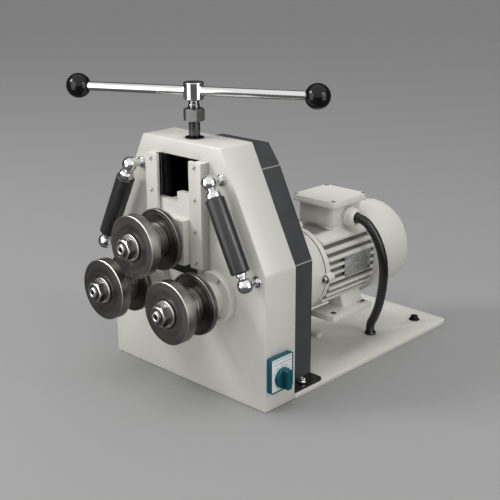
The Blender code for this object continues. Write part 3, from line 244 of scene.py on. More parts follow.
class Recipe(Wiring):
    """One finish: its shader and what drives it."""

    def __init__(self, name):
        self.material = bpy.data.materials.new(name)
        self.material.use_nodes = True
        super().__init__(self.material.node_tree)
        self.shader = self.nodes["Principled BSDF"]

    def place(self, origin=(0, 0, 0), stretch=(1, 1, 1)):
        """The point on the piece, counted from an origin."""
        where = self.node("ShaderNodeTexCoord").outputs["Object"]
        values = {"Vector": where, "Location": [-value for value in origin], "Scale": stretch}
        return self.node("ShaderNodeMapping", values).outputs[0]

    def around(self, origin):
        """(distance from an axis along Y, place along it) as two values."""
        x, y, z = self.node("ShaderNodeSeparateXYZ", {0: self.place(origin)}).outputs
        squares = [self.math("MULTIPLY", part, part) for part in (x, z)]
        return self.math("SQRT", self.math("ADD", *squares)), y

    def noise(self, where, scale, detail=2.0, roughness=0.5):
        values = {"Vector": where, "Scale": scale, "Detail": detail, "Roughness": roughness}
        return self.node("ShaderNodeTexNoise", values).outputs["Fac"]

    def mean(self, first, second):
        return self.math("MULTIPLY", self.math("ADD", first, second), 0.5)

    def spread(self, value, low_value, high_value, from_low=0.3, from_high=0.7):
        """The value, moved from one range to another."""
        values = (value, from_low, from_high, low_value, high_value)
        return self.node("ShaderNodeMapRange", dict(enumerate(values))).outputs[0]

    def tint(self, value, first, second):
        """A colour between two, chosen by a value from 0 to 1."""
        shades = [(*shade, 1) if isinstance(shade, tuple) else shade for shade in (first, second)]
        values = {"Factor": value, "A": shades[0], "B": shades[1]}
        return self.node("ShaderNodeMix", values, data_type="RGBA").outputs["Result"]

    def shades(self, value, shade, dark, light):
        """The paint between its darker and its lighter places."""
        return self.tint(value, scaled(shade, dark), scaled(shade, light))

    def bump(self, height, strength, distance):
        values = {"Height": height, "Strength": strength, "Distance": distance}
        self.feed(self.shader.inputs["Normal"], self.node("ShaderNodeBump", values).outputs[0])

    def done(self, paint, roughness, metallic=0.0, gloss=0.5):
        values = (paint, roughness, metallic, gloss)
        names = ("Base Color", "Roughness", "Metallic", "Specular IOR Level")
        for name, value in zip(names, values):
            self.feed(self.shader.inputs[name], value)
        return self.material


def scaled(shade, factor):
    return tuple(min(1, value * factor) for value in shade)


def enamel(name, shade, roughness, orange_peel=0.12, mottle=0.035, hollow=None):
    """Sprayed machine enamel with a faint orange peel and handling marks.

    A hollow is (origin of its axis, radius of its floor, radius where the darkening stops,
    share of the paint's colour that is left on the floor). The darkening is painted shade.
    """
    recipe = Recipe(name)
    where = recipe.place()
    paint = recipe.shades(recipe.noise(where, 14, 3), shade, 1 - mottle, 1 + mottle)
    # Darker paint towards the floor of a hollow: painted shade
    if hollow:
        origin, floor, top, left = hollow
        unshaded = recipe.spread(recipe.around(origin)[0], 0, 1, floor, top)
        paint = recipe.tint(unshaded, scaled(shade, left), paint)
    recipe.bump(recipe.noise(where, 420), orange_peel, 0.15 * mm)
    smudge = recipe.noise(where, 38, 4, 0.6)
    return recipe.done(paint, recipe.spread(smudge, roughness - 0.05, roughness + 0.07))


def turned_metal(name, shade, roughness, origin):
    """Metal turned round an axis along Y, with fine rings on faces and on rims."""
    recipe = Recipe(name)
    away, along = recipe.around(origin)
    rings = recipe.node("ShaderNodeCombineXYZ", {0: away, 1: along}).outputs[0]
    mixed = recipe.mean(recipe.noise(rings, 420), recipe.noise(recipe.place(), 30, 4, 0.6))
    paint = recipe.shades(recipe.spread(mixed, 0, 1, 0.38, 0.62), shade, 0.84, 1.16)
    recipe.bump(recipe.noise(rings, 2600, 2, 0.6), 0.25, 0.05 * mm)
    dull = recipe.spread(mixed, roughness - 0.07, roughness + 0.09, 0.35, 0.65)
    return recipe.done(paint, dull, metallic=1.0)


def plated(name, shade, roughness):
    """Polished plating with faint haze."""
    recipe = Recipe(name)
    haze = recipe.noise(recipe.place(), 60, 3, 0.6)
    dull = recipe.spread(haze, roughness - 0.02, roughness + 0.05)
    return recipe.done(recipe.shades(haze, shade, 0.95, 1.03), dull, metallic=1.0)


def moulded(name, shade, roughness, texture=0.1, gloss=0.5):
    """Moulded plastic with a fine skin."""
    recipe = Recipe(name)
    where = recipe.place()
    broad = recipe.noise(where, 45, 3)
    recipe.bump(recipe.noise(where, 1500), texture, 0.05 * mm)
    dull = recipe.spread(broad, roughness - 0.04, roughness + 0.05)
    return recipe.done(recipe.shades(broad, shade, 0.9, 1.12), dull, gloss=gloss)


def etched_plate(name, shade, roughness):
    """Brushed sheet with a worn, cloudy surface and nothing printed on it."""
    recipe = Recipe(name)
    lines = recipe.noise(recipe.place(stretch=(1, 0.04, 1)), 900, 2, 0.6)
    cloud = recipe.noise(recipe.place(), 190, 4, 0.65)
    mixed = recipe.mean(lines, cloud)
    paint = recipe.shades(recipe.spread(mixed, 0, 1, 0.36, 0.64), shade, 0.6, 1.5)
    recipe.bump(cloud, 0.3, 0.2 * mm)
    return recipe.done(paint, recipe.spread(mixed, roughness - 0.1, roughness + 0.15), metallic=0.7)


def blackened(name, shade, roughness, metallic=1.0):
    """Blackened steel with a little oil on it."""
    recipe = Recipe(name)
    cloud = recipe.noise(recipe.place(), 80, 4, 0.6)
    dull = recipe.spread(cloud, roughness - 0.08, roughness + 0.1)
    return recipe.done(recipe.shades(cloud, shade, 0.7, 1.5), dull, metallic)


# Each finish: its maker, its paint, the paint's strength, its roughness, then what else the
# maker takes
FINISHES = {
    "cream_enamel": (enamel, "cream", 1, 0.36),
    "cast_cream_enamel": (enamel, "cream", 1, 0.42, 0.35, 0.05),
    # Cream darkened as painted shade on the guide strips' outer sides
    "dull_cream_enamel": (enamel, "cream", 0.6, 0.45),
    "grey_enamel": (enamel, "grey", 1, 0.42, 0.2, 0.08),
    "black_enamel": (enamel, "foot", 1, 0.25, 0.1, 0.2),
    # Pale beads on the cover's bends: a painted highlight
    "seam_filler": (enamel, "seam", 1, 0.3, 0.1, 0.1),
    # Painted shade in the housing's slot and hollow, below the guide strips and behind their lips
    "dark_inside": (blackened, "inside", 1, 0.45, 0.3),
    "blackened_steel": (blackened, "inside", 1.4, 0.38),
    "thread_steel": (blackened, "thread", 1, 0.22),
    # Black of dark rivets, screws and joints, and painted shade in gaps, sockets, recesses and
    # holes
    "screw_slot": (blackened, "slot", 1, 0.6, 0.0),
    "chrome_plating": (plated, "chrome", 1, 0.08),
    "neck_plating": (plated, "chrome", 0.3, 0.1),
    "satin_steel": (plated, "bright", 1, 0.27),
    "bright_bolt": (plated, "bright", 1.3, 0.2),
    "washer_zinc": (plated, "bright", 1.3, 0.32),
    "nut_end": (plated, "bright", 0.3, 0.36),
    "nut_side": (plated, "bright", 0.38, 0.28),
    "stop_nut_side": (plated, "bright", 0.55, 0.28),
    "spacer_steel": (plated, "rolls", 2.2, 0.34),
    "gear_steel": (plated, "gears", 1, 0.35),
    "knob_plastic": (moulded, "black_plastic", 1, 0.14, 0.01, 0.3),
    "fan_plastic": (moulded, "black_plastic", 1, 0.35),
    "sleeve_tube": (moulded, "sleeve", 1, 0.3, 0.06),
    "teal_plastic": (moulded, "teal", 1, 0.3, 0.1, 0.3),
    "teal_shadow": (moulded, "teal", 0.4, 0.4, 0.1, 0.2),
    "switch_face": (moulded, "face", 1, 0.4, 0.03),
    "switch_print": (moulded, "print_ink", 1, 0.5, 0.03),
    "hose_rubber": (moulded, "hose", 1, 0.22, 0.04),
    # Painted shade along the cover's edges and on the hand screw's core
    "joint_black": (moulded, "joint", 1, 0.6, 0.05, 0.1),
    "plate_metal": (etched_plate, "plate", 1, 0.5),
}
made_finishes = {}


def finish(name):
    """A finish by name, made when it is first asked for."""
    if name not in made_finishes:
        maker, paint, strength, *numbers = FINISHES[name]
        made_finishes[name] = maker(name, scaled(getattr(paints(), paint), strength), *numbers)
    return made_finishes[name]


# Shapes


def ring_of(shape, steps, radius, height):
    """Corners round +Z. The radius and the height may be functions of the angle."""
    ring = []
    for i in range(steps):
        angle = i * 2 * math.pi / steps
        away, level = (value(angle) if callable(value) else value for value in (radius, height))
        ring.append(shape.verts.new((away * math.cos(angle), away * math.sin(angle), level)))
    return ring


def stacked(layers, steps, closed=False):
    """A shape round +Z from (radius, height) rings."""
    shape = bmesh.new()
    rings = [ring_of(shape, steps if layer[0] else 1, *layer) for layer in layers]
    return skinned(shape, rings, closed)


def skinned(shape, rings, closed=False):
    """Faces from each ring of corners to the next, where a ring may be one point.

    A closed shape joins its last ring to its first. Another one has a lid at each end.
    """
    for first, second in zip(rings, rings[1:] + rings[:1] if closed else rings[1:]):
        count = max(len(first), len(second))
        for i in range(count):
            j = (i + 1) % count
            corners = [first[i % len(first)], first[j % len(first)]]
            corners += [second[j % len(second)], second[i % len(second)]]
            corners = list(dict.fromkeys(corners))
            if len(corners) > 2:
                shape.faces.new(corners)
    lids = () if closed else rings[:: max(1, len(rings) - 1)]
    for ring in lids:
        if len(ring) > 2:
            shape.faces.new(ring)
    bmesh.ops.recalc_face_normals(shape, faces=shape.faces)
    return shape


def hexagon(half):
    """How far a hexagon reaches at an angle, by half its width across flats."""
    return lambda angle: half / math.cos(angle % (math.pi / 3) - math.pi / 6)


def aimed(shape, origin, axis):
    """The shape with its foot on an origin and its +Z along an axis."""
    rotation = Z.rotation_difference(Vector(axis)).to_matrix().to_4x4()
    shape.transform(Matrix.Translation(origin) @ rotation)
    return shape


def run(start, *points):
    """Profile points, from (millimetres past a start, radius in millimetres)."""
    return [(start + along * mm, radius * mm) for along, radius in points]


def ball_run(radius, mouth, steps):
    """The profile of a ball round the axis's start, from its far end to a mouth."""
    end = math.pi - math.asin(mouth / radius)
    arc = [end * i / steps for i in range(steps + 1)]
    return [(radius, 0)] + [(radius * math.cos(a), radius * math.sin(a)) for a in arc[1:]]


def eased(profile, radius, steps=3):
    """A profile with every corner rounded, as far as its neighbours leave room."""
    points = [Vector(point) for point in profile]
    result = []
    for i, corner in enumerate(points):
        before = points[i - 1] - corner
        after = points[(i + 1) % len(points)] - corner
        if corner.y and not (before.length and after.length):
            continue
        if corner.y == 0 or before.angle(after) > STRAIGHT:
            result.append(tuple(corner))
            continue
        reach = radius / math.tan(before.angle(after) / 2)
        reach = min(reach, before.length * 0.45, after.length * 0.45)
        start = corner + before.normalized() * reach
        end = corner + after.normalized() * reach
        for t in [step / steps for step in range(steps + 1)]:
            result.append(tuple((1 - t) ** 2 * start + 2 * t * (1 - t) * corner + t**2 * end))
    return result


def lathe(profile, steps, origin, axis):
    """A turned shape. The profile lists (place along the axis, radius) from a point on the axis."""
    layers = [(radius, along) for along, radius in profile]
    return aimed(stacked(layers, steps, closed=profile[0][1] > 0), origin, axis)


# Pieces


def smoothed(mesh, sharp):
    mesh.shade_smooth()
    mesh.set_sharp_from_angle(angle=math.radians(sharp))


def added(name, mesh):
    piece = bpy.data.objects.new(name, mesh)
    bpy.context.scene.collection.objects.link(piece)
    return piece


def shaped(name, shape, *finishes, sharp=SHARP):
    """A finished mesh piece whose place is in its mesh."""
    mesh = bpy.data.meshes.new(name)
    shape.to_mesh(mesh)
    shape.free()
    for entry in finishes:
        mesh.materials.append(finish(entry) if isinstance(entry, str) else entry)
    smoothed(mesh, sharp)
    return added(name, mesh)


def made_plain(piece, sharp=SHARP):
    """Turn a piece's modifiers into its mesh."""
    seen = piece.evaluated_get(bpy.context.evaluated_depsgraph_get())
    mesh = bpy.data.meshes.new_from_object(seen)
    piece.modifiers.clear()
    old = piece.data
    piece.data = mesh
    mesh.name = piece.name
    bpy.data.meshes.remove(old)
    smoothed(mesh, sharp)
    return piece


def painted(piece, choose):
    """Each face gets the finish whose number choose(face) gives."""
    for face in piece.data.polygons:
        face.material_index = int(choose(face))
    return piece


BODY_OF = {
    node: body
    for body, nodes in frame["record"]["behaviour"]["bodies"].items()
    for node in nodes
}


def stand_for(piece, node):
    """The piece rides on the body of the node that it replaces."""
    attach(piece, BODY_OF[node])
    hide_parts(node)


def fixed(piece):
    """The piece rides on the machine's own body."""
    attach(piece, MACHINE)


def give(material, *nodes):
    """Solids that are kept get their finish."""
    for node in nodes:
        slots = frame["nodes"][node].data.materials
        slots.clear()
        slots.append(finish(material))


def turned_piece(name, profile, finishes, origin, axis, edge=None, steps=None):
    edge = sizes().turned_edge if edge is None else edge
    rounded = eased(profile, edge) if edge else profile
    shape = lathe(rounded, steps or sizes().turned_steps, origin, axis)
    return shaped(name, shape, *finishes)


def turn(node, profile, finishes, origin, axis, edge=None, choose=None):
    """A turned piece in place of a solid."""
    finishes = (finishes,) if isinstance(finishes, str) else finishes
    piece = turned_piece(node + "_turned", profile, finishes, origin, axis, edge)
    stand_for(painted(piece, choose) if choose else piece, node)


def dress(node, finishes, edge, choose=None, cuts=()):
    """A copy of a solid with rounded edges in its place. Planes (place, normal) split its faces."""
    shape = bmesh.new()
    shape.from_mesh(frame["nodes"][node].data)
    bmesh.ops.remove_doubles(shape, verts=shape.verts, dist=0.002 * mm)
    bmesh.ops.dissolve_limit(
        shape, angle_limit=math.radians(0.5), verts=shape.verts, edges=shape.edges
    )
    for place, normal in cuts:
        whole = [*shape.verts, *shape.edges, *shape.faces]
        bmesh.ops.bisect_plane(shape, geom=whole, dist=0.001 * mm, plane_co=place, plane_no=normal)
    finishes = (finishes,) if isinstance(finishes, str) else finishes
    piece = shaped(node + "_dressed", shape, *finishes)
    if edge:
        bevel = piece.modifiers.new("Edges", "BEVEL")
        bevel.width = edge
        bevel.segments = 2
        bevel.limit_method = "ANGLE"
        bevel.angle_limit = math.radians(SHARP)
        bevel.harden_normals = False
        made_plain(piece)
    stand_for(painted(piece, choose) if choose else piece, node)


def hexagon_nut(node, bore, origin, axis, tones, turned=0.0):
    """A nut in place of a solid, in the tones of its ends, sides and chamfers."""
    half = 15 * mm
    crown = half * 0.92
    slope = math.tan(math.radians(32))
    lip = bore * 0.07
    thick = span(node).dot(Vector(map(abs, axis)))
    corner = hexagon(half)

    def drop(angle):
        return (corner(angle) - crown) * slope

    layers = [(bore, thick - lip), (bore + lip, thick), (crown, thick)]
    layers += [(corner, lambda angle: thick - drop(angle)), (corner, drop)]
    layers += [(crown, 0), (bore + lip, 0), (bore, lip)]
    shape = stacked(layers, 72, closed=True)
    shape.transform(Matrix.Rotation(turned, 4, "Z"))

    # The chamfers get a much brighter steel than the ends and sides: bare turned edges, brightened
    # further as a painted highlight.
    def tone(face):
        lean = abs(face.normal.dot(axis))
        return 0 if lean > 0.95 else 1 if lean < 0.3 else 2

    nut = shaped(node + "_turned", aimed(shape, origin, axis), *tones, sharp=25)
    stand_for(painted(nut, tone), node)


# Trees of nodes


class Tree(Wiring):
    """A geometry tree with named inputs."""

    def __init__(self, name, **inputs):
        self.group = bpy.data.node_groups.new(name, "GeometryNodeTree")
        super().__init__(self.group)
        kinds = {"Geometry": "Geometry", **inputs, "Finish": "Material"}
        self.keys = {}
        for label, kind in kinds.items():
            socket = self.group.interface.new_socket(
                label, in_out="INPUT", socket_type="NodeSocket" + kind
            )
            self.keys[label] = socket.identifier
        self.group.interface.new_socket(
            "Geometry", in_out="OUTPUT", socket_type="NodeSocketGeometry"
        )
        self.given = self.node("NodeGroupInput").outputs

    def end(self, geometry):
        whole = self.node("GeometryNodeRealizeInstances", {"Geometry": geometry})
        values = {"Geometry": whole.outputs[0], "Material": self.given["Finish"]}
        covered = self.node("GeometryNodeSetMaterial", values)
        self.node("NodeGroupOutput", {0: covered.outputs[0]})

    def grow(self, name, values, mesh=None, sharp=SHARP):
        """Run the tree on a mesh and keep the result as a plain mesh piece."""
        piece = added(name, mesh or bpy.data.meshes.new(name))
        change = piece.modifiers.new("Tree", "NODES")
        change.node_group = self.group
        for label, value in values.items():
            change[self.keys[label]] = value
        return made_plain(piece, sharp)


def screw_tree():
    """Sets one head on every point, turned to face the point's own direction."""
    tree = Tree("screw_pattern", Head="Object", Size="Float")
    direction = tree.node(
        "GeometryNodeInputNamedAttribute", {"Name": "direction"}, data_type="FLOAT_VECTOR"
    )
    facing = tree.node(
        "FunctionNodeAlignRotationToVector", {"Vector": direction.outputs[0]}, axis="Z"
    )
    head = tree.node("GeometryNodeObjectInfo", {"Object": tree.given["Head"]})
    points = tree.node("GeometryNodeMeshToPoints", {"Mesh": tree.given["Geometry"]})
    values = {
        "Points": points.outputs[0],
        "Instance": head.outputs["Geometry"],
        "Rotation": facing.outputs[0],
        "Scale": tree.given["Size"],
    }
    tree.end(tree.node("GeometryNodeInstanceOnPoints", values).outputs[0])
    return tree


def set_screws(name, places, head, material, size=1.0):
    """Screws at (place, direction) pairs. The head faces +Z."""
    points = bpy.data.meshes.new(name)
    points.from_pydata([tuple(place) for place, direction in places], [], [])
    facing = points.attributes.new("direction", "FLOAT_VECTOR", "POINT")
    for slot, (place, direction) in zip(facing.data, places):
        slot.vector = direction
    pattern = added(name + "_head", bpy.data.meshes.new(name + "_head"))
    head.to_mesh(pattern.data)
    head.free()
    values = {"Head": pattern, "Size": size, "Finish": finish(material)}
    piece = screw_tree().grow(name, values, points)
    bpy.data.objects.remove(pattern)
    fixed(piece)


# Screw heads, facing +Z


def slotted_head(radius, height, slot_width=0.9 * mm, slot_depth=0.8 * mm):
    """A low round head with a straight slot."""
    steps = 14
    half = slot_width / 2
    start = math.asin(half / radius)
    arc = [start + (math.pi - 2 * start) * i / steps for i in range(steps + 1)]
    rim = [(radius * math.cos(a), radius * math.sin(a)) for a in arc]
    crown = [(x * 0.9, max(half, y * 0.9)) for x, y in rim]
    shape = bmesh.new()
    for side in (1, -1):
        rings = [
            [shape.verts.new((x, side * y, level)) for x, y in outline]
            for outline, level in ((rim, 0), (rim, height * 0.7), (crown, height))
        ]
        skinned(shape, rings)
    return skinned(shape, [ring_of(shape, steps * 2, radius * 0.98, height - slot_depth)])


def cap_head(radius, height, socket):
    """A cap screw's head with its hexagon socket."""
    flats = hexagon(radius * socket * 0.87)
    layers = [(flats, height * 0.4), (flats, height), (radius * 0.86, height)]
    layers += [(radius * 0.96, height * 0.95), (radius, height * 0.84), (radius, 0)]
    return stacked(layers, 36)


def flange_bolt_head(size=1.0):
    """A hexagon bolt head with its flange."""
    flats = hexagon(6.5)
    layers = [(10, 0), (10, 1.2), (8.6, 2.6), (flats, 2.8), (flats, 7.2)]
    layers += [(6.3, 8), (3.6, 8), (3.3, 7.4)]
    shape = stacked(layers, 36)
    shape.transform(Matrix.Scale(size * mm, 4))
    return shape


def washer_shape(radius, thickness):
    return stacked([(radius, 0), (radius * 0.96, thickness)], 32)


def shade_disc(radius):
    """A thin dark disc under a sunk head: painted shade in the gap round the head and in its slot.
    """
    return washer_shape(radius, 0.08 * mm)


def rivet_head(radius):
    shape = bmesh.new()
    bmesh.ops.create_uvsphere(shape, u_segments=20, v_segments=12, radius=radius)
    shape.transform(Matrix.Diagonal((1, 1, 0.55, 1)))
    return shape


def set_sunk_screws(name, places):
    """Slotted heads, each on a dark disc that paints the shade in its countersink and slot."""
    radius = sizes().slotted_head
    set_screws(name + "_rims", places, shade_disc(radius * 1.14), "screw_slot")
    head = slotted_head(radius, 0.45 * mm, 1.7 * mm, 0.45 * mm)
    head.transform(Matrix.Rotation(math.radians(40), 4, "Z"))
    set_screws(name, places, head, "cream_enamel")


# Base


class BENDER_OT_base(bpy.types.Operator):
    """Finish the base plate and set its bolts"""

    bl_idname = "bender.base"
    bl_label = "Base Plate"

    def execute(self, context):
        bolt_side = 135 * mm
        bolt_depth = high("base_plate").y - 45 * mm
        dress("base_plate", "cream_enamel", sizes().edge * 1.7)
        top = low("base_plate").z + BASE_THICKNESS
        places = [(Vector((side * bolt_side, bolt_depth, top)), Z) for side in (-1, 1)]
        set_screws("base_bolts", places, flange_bolt_head(), "blackened_steel")
        return {"FINISHED"}


# Housing


class BENDER_OT_housing(bpy.types.Operator):
    """Finish the front housing and the plate that closes it"""

    bl_idname = "bender.housing"
    bl_label = "Housing"

    def execute(self, context):
        slot = abs(high("gib_left").x)
        channel = slot + LIP_WIDTH
        between = abs(high("bearing_flange_left").x) - 0.4 * mm
        foot = low("gib_left").z + 0.5 * mm
        head = high("gib_left").z - 0.5 * mm
        slot_foot = low("gib_left").z - PAINTED_SHADE_STRIP
        sides = (channel, -channel, between, -between, slot, -slot)
        cuts = [(X * side, X) for side in sides]
        cuts += [(Z * height, Z) for height in (foot, head, slot_foot)]
        front = low("front_housing").y
        half = high("front_housing").x
        top = high("front_housing").z

        def dark(face):
            """Faces painted dark as shade: the slot, the strips behind the lips, the wall below the
            guide strips and the hollow behind the front wall.
            """
            ahead = face.center + face.normal * mm
            away = abs(ahead.x)
            lean = max(0, ahead.z - HOUSING_KNEE) * (half - HOUSING_SHOULDER) / (top - HOUSING_KNEE)
            inside = away < half - lean - HOUSING_WALL and ahead.z < top - HOUSING_WALL
            behind_lip = away < channel and foot < ahead.z < head
            in_slot = away < (slot if ahead.z > foot else between) and slot_foot < ahead.z < head
            on_front = ahead.y < front
            return behind_lip or (on_front and in_slot) or (inside and ahead.y > front + 0.9 * mm)

        tones = ("cream_enamel", "dark_inside")
        dress("front_housing", tones, sizes().edge, dark, cuts)
        # The plate's faces towards the housing's hollow are painted dark as shade; its back stays
        # cream.
        dress("rear_bearing_plate", tones, sizes().edge * 0.6, lambda face: face.normal.y < 0.5)
        return {"FINISHED"}


# Sheet cover


class BENDER_OT_cover(bpy.types.Operator):
    """Finish the sheet cover behind the housing and set its screws"""

    bl_idname = "bender.cover"
    bl_label = "Sheet Cover"

    def execute(self, context):
        front, back = depths("cover_hood")
        borders = (front + 3 * mm, back - 1.6 * mm)
        cuts = [(Y * depth, Y) for depth in borders]
        wall = high("cover_hood").x

        # Bands along the cover's front edge and back rim are painted near black as shade next to
        # the housing.
        def in_edge_shade(face):
            at_back = face.center.y > borders[1] and abs(face.normal.y) < 0.5
            return face.center.y < borders[0] or at_back

        def part_of_lower(face):
            return 1 if abs(face.center.x) > wall + 0.6 * mm else 2 * in_edge_shade(face)

        edge = sizes().sheet_edge
        dress("cover_hood", ("grey_enamel", "joint_black"), edge, in_edge_shade, cuts)
        tones = ("grey_enamel", "black_enamel", "joint_black")
        dress("cover_lower", tones, edge, part_of_lower, cuts)
        self.set_bend_highlights(front, back, wall)

        washer = 1.6 * mm
        foot = low("cover_lower").z + 3 * mm
        side = (high("cover_lower").x + wall) / 2
        depth = centre("cover_lower").y
        places = [(Vector((way * side, depth, foot)), Z) for way in (-1, 1)]
        set_screws("cover_washers", places, washer_shape(9 * mm, washer), "blackened_steel")
        raised = [(place + Z * washer, direction) for place, direction in places]
        set_screws("cover_screws", raised, flange_bolt_head(0.72), "bright_bolt")
        return {"FINISHED"}

    def set_bend_highlights(self, front, back, wall):
        """Pale beads along the cover's two bends, on both sides, whose colour is a painted
        highlight.
        """
        bead = run(front, (0.5, 0), (0.5, 0.9), (1.5, 1.3))
        bead += run(back, (-1.5, 1.3), (-0.5, 0.9), (-0.5, 0))
        knee = Vector((wall - 0.4 * mm, 0, high("cover_lower").z))
        for side, way in (("left", -1), ("right", 1)):
            for fold, place in (("knee", knee), ("shoulder", COVER_SHOULDER)):
                origin = Vector((way * place.x, 0, place.z))
                name = f"cover_seam_{fold}_{side}"
                fixed(turned_piece(name, bead, ("seam_filler",), origin, Y, 0.3 * mm, 16))


# Slide


class BENDER_OT_slide(bpy.types.Operator):
    """Finish the guide strips and the carriage, with their slotted screws"""

    bl_idname = "bender.slide"
    bl_label = "Slide"

    def execute(self, context):
        screws = []
        per_strip = 4
        inset = 9 * mm
        past_channel = abs(high("gib_left").x) + LIP_WIDTH + 0.3 * mm
        tones = ("cream_enamel", "dark_inside", "dull_cream_enamel")
        for node in ("gib_left", "gib_right"):
            middle = centre(node)
            front = low(node).y
            lip_back = front + 5.5 * mm

            # The channel behind each lip is painted dark and the strip's outer side a darker cream,
            # both painted shade.
            def tone(face):
                away = abs(face.center.x)
                if away < past_channel and face.center.y > lip_back:
                    return 1
                return 2 * (abs(face.normal.x) > 0.9 and away > abs(middle.x))

            dress(node, tones, sizes().edge * 0.6, tone)
            pitch = (span(node).z - 2 * inset) / (per_strip - 1)
            for i in range(per_strip):
                height = low(node).z + inset + i * pitch
                screws.append((Vector((middle.x, front, height)), -Y))
        set_sunk_screws("gib_screws", screws)
        dress("carriage", "cream_enamel", sizes().edge * 0.8)
        give("satin_steel", "carriage_bush")
        return {"FINISHED"}


# Hand screw


class BENDER_OT_hand_screw(bpy.types.Operator):
    """Turn the hand screw with its thread, hub, cross bar, knobs, stop nut and bush"""

    bl_idname = "bender.hand_screw"
    bl_label = "Hand Screw"

    def execute(self, context):
        axis = screw_axis()
        self.turn_screw(axis)
        foot = low("spindle_hub").z
        head = high("spindle_hub").z
        hub = run(foot, (0, 0), (0, 14.2), (1.6, 16)) + run(head, (-0.8, 16), (0, 15.2), (0, 0))
        turn("spindle_hub", hub, "chrome_plating", axis, Z, 0.35 * mm)
        self.turn_bar()
        tones = ("stop_nut_side", "stop_nut_side", "satin_steel")
        seat = screw_axis(low("stop_nut").z)
        hexagon_nut("stop_nut", 9.9 * mm, seat, Z, tones, math.radians(30))
        flange = high("spindle_bush").z
        bush = run(low("spindle_bush").z, (0, 10.4), (0, 13.5))
        bush += run(flange, (-1.5, 13.5), (-1.5, 15.5), (0, 15), (0, 10.4))
        turn("spindle_bush", bush, "blackened_steel", axis, Z)
        return {"FINISHED"}

    def turn_screw(self, axis):
        foot = low("spindle").z
        head = high("spindle").z
        start = foot + 32.3 * mm
        end = head - 12.7 * mm
        root = 10 * mm - sizes().thread_depth
        profile = run(foot, (0, 0), (0, 8)) + run(start, (-7, 8), (-7, 13), (0, 13))
        profile += [(start, root), (end - mm, root)]
        profile += run(end, (-1, 9.2), (5, 9.2), (7, 8.2)) + run(head, (0, 8.2), (0, 0))
        # Below the neck the screw is near black: painted shade at the thread's root and on the
        # shank.
        tones = ("joint_black", "neck_plating")
        turn("spindle", profile, tones, axis, Z, choose=lambda face: face.center.z > end - mm)
        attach(thread_piece(start, end, root), "spindle_body")

    def turn_bar(self):
        middle = screw_axis(centre("tee_bar").z)
        reach = high("tee_bar") - middle
        direction = Vector((reach.x, reach.y, 0)).normalized()
        ball = 19.75 * mm
        knob_reach = 197 * mm
        end = knob_reach - ball + 2 * mm
        bar = [(-end, 0), (-end, 7.2 * mm), (end, 7.2 * mm), (end, 0)]
        turn("tee_bar", bar, "chrome_plating", middle, direction, 0.4 * mm)
        profile = [(knob_reach + along, radius) for along, radius in ball_run(ball, 8.2 * mm, 40)]
        profile += run(profile[-1][0], (0.3, 7.25), (4, 7.25), (4, 0))
        for node, way in (("bar_knob_left", -direction), ("bar_knob_right", direction)):
            turn(node, profile, "knob_plastic", middle, way, edge=0)


def thread_piece(bottom, top, root):
    """The hand screw's thread, swept by a tree of nodes along a helix."""
    floats = {name: "Float" for name in ("Length", "Pitch", "Core", "Depth")}
    tree = Tree("trapezoidal_thread", **floats)
    given = tree.given
    helix = {
        "Resolution": 40,
        "Rotations": tree.math("DIVIDE", given["Length"], given["Pitch"]),
        "Start Radius": given["Core"],
        "End Radius": given["Core"],
        "Height": given["Length"],
    }
    curve = tree.node("GeometryNodeCurveSpiral", helix).outputs[0]
    upright = tree.node("GeometryNodeSetCurveNormal", {"Curve": curve}, mode="Z_UP").outputs[0]
    tooth = {
        "Bottom Width": tree.math("MULTIPLY", given["Pitch"], 0.62),
        "Top Width": tree.math("MULTIPLY", given["Pitch"], 0.34),
        "Height": tree.math("MULTIPLY", given["Depth"], 2.0),
        "Offset": 0,
    }
    outline = tree.node("GeometryNodeCurvePrimitiveQuadrilateral", mode="TRAPEZOID")
    for name, value in tooth.items():
        tree.feed(outline.inputs[name], value)
    sweep = {"Curve": upright, "Profile Curve": outline.outputs[0], "Fill Caps": True}
    swept = tree.node("GeometryNodeCurveToMesh", sweep).outputs[0]
    lift = {"Geometry": swept, "Translation": screw_axis(bottom)}
    tree.end(tree.node("GeometryNodeTransform", lift).outputs[0])
    values = {
        "Length": top - bottom,
        "Pitch": sizes().thread_pitch,
        "Core": root,
        "Depth": sizes().thread_depth,
        "Finish": finish("thread_steel"),
    }
    return tree.grow("spindle_thread", values)


# Rolls


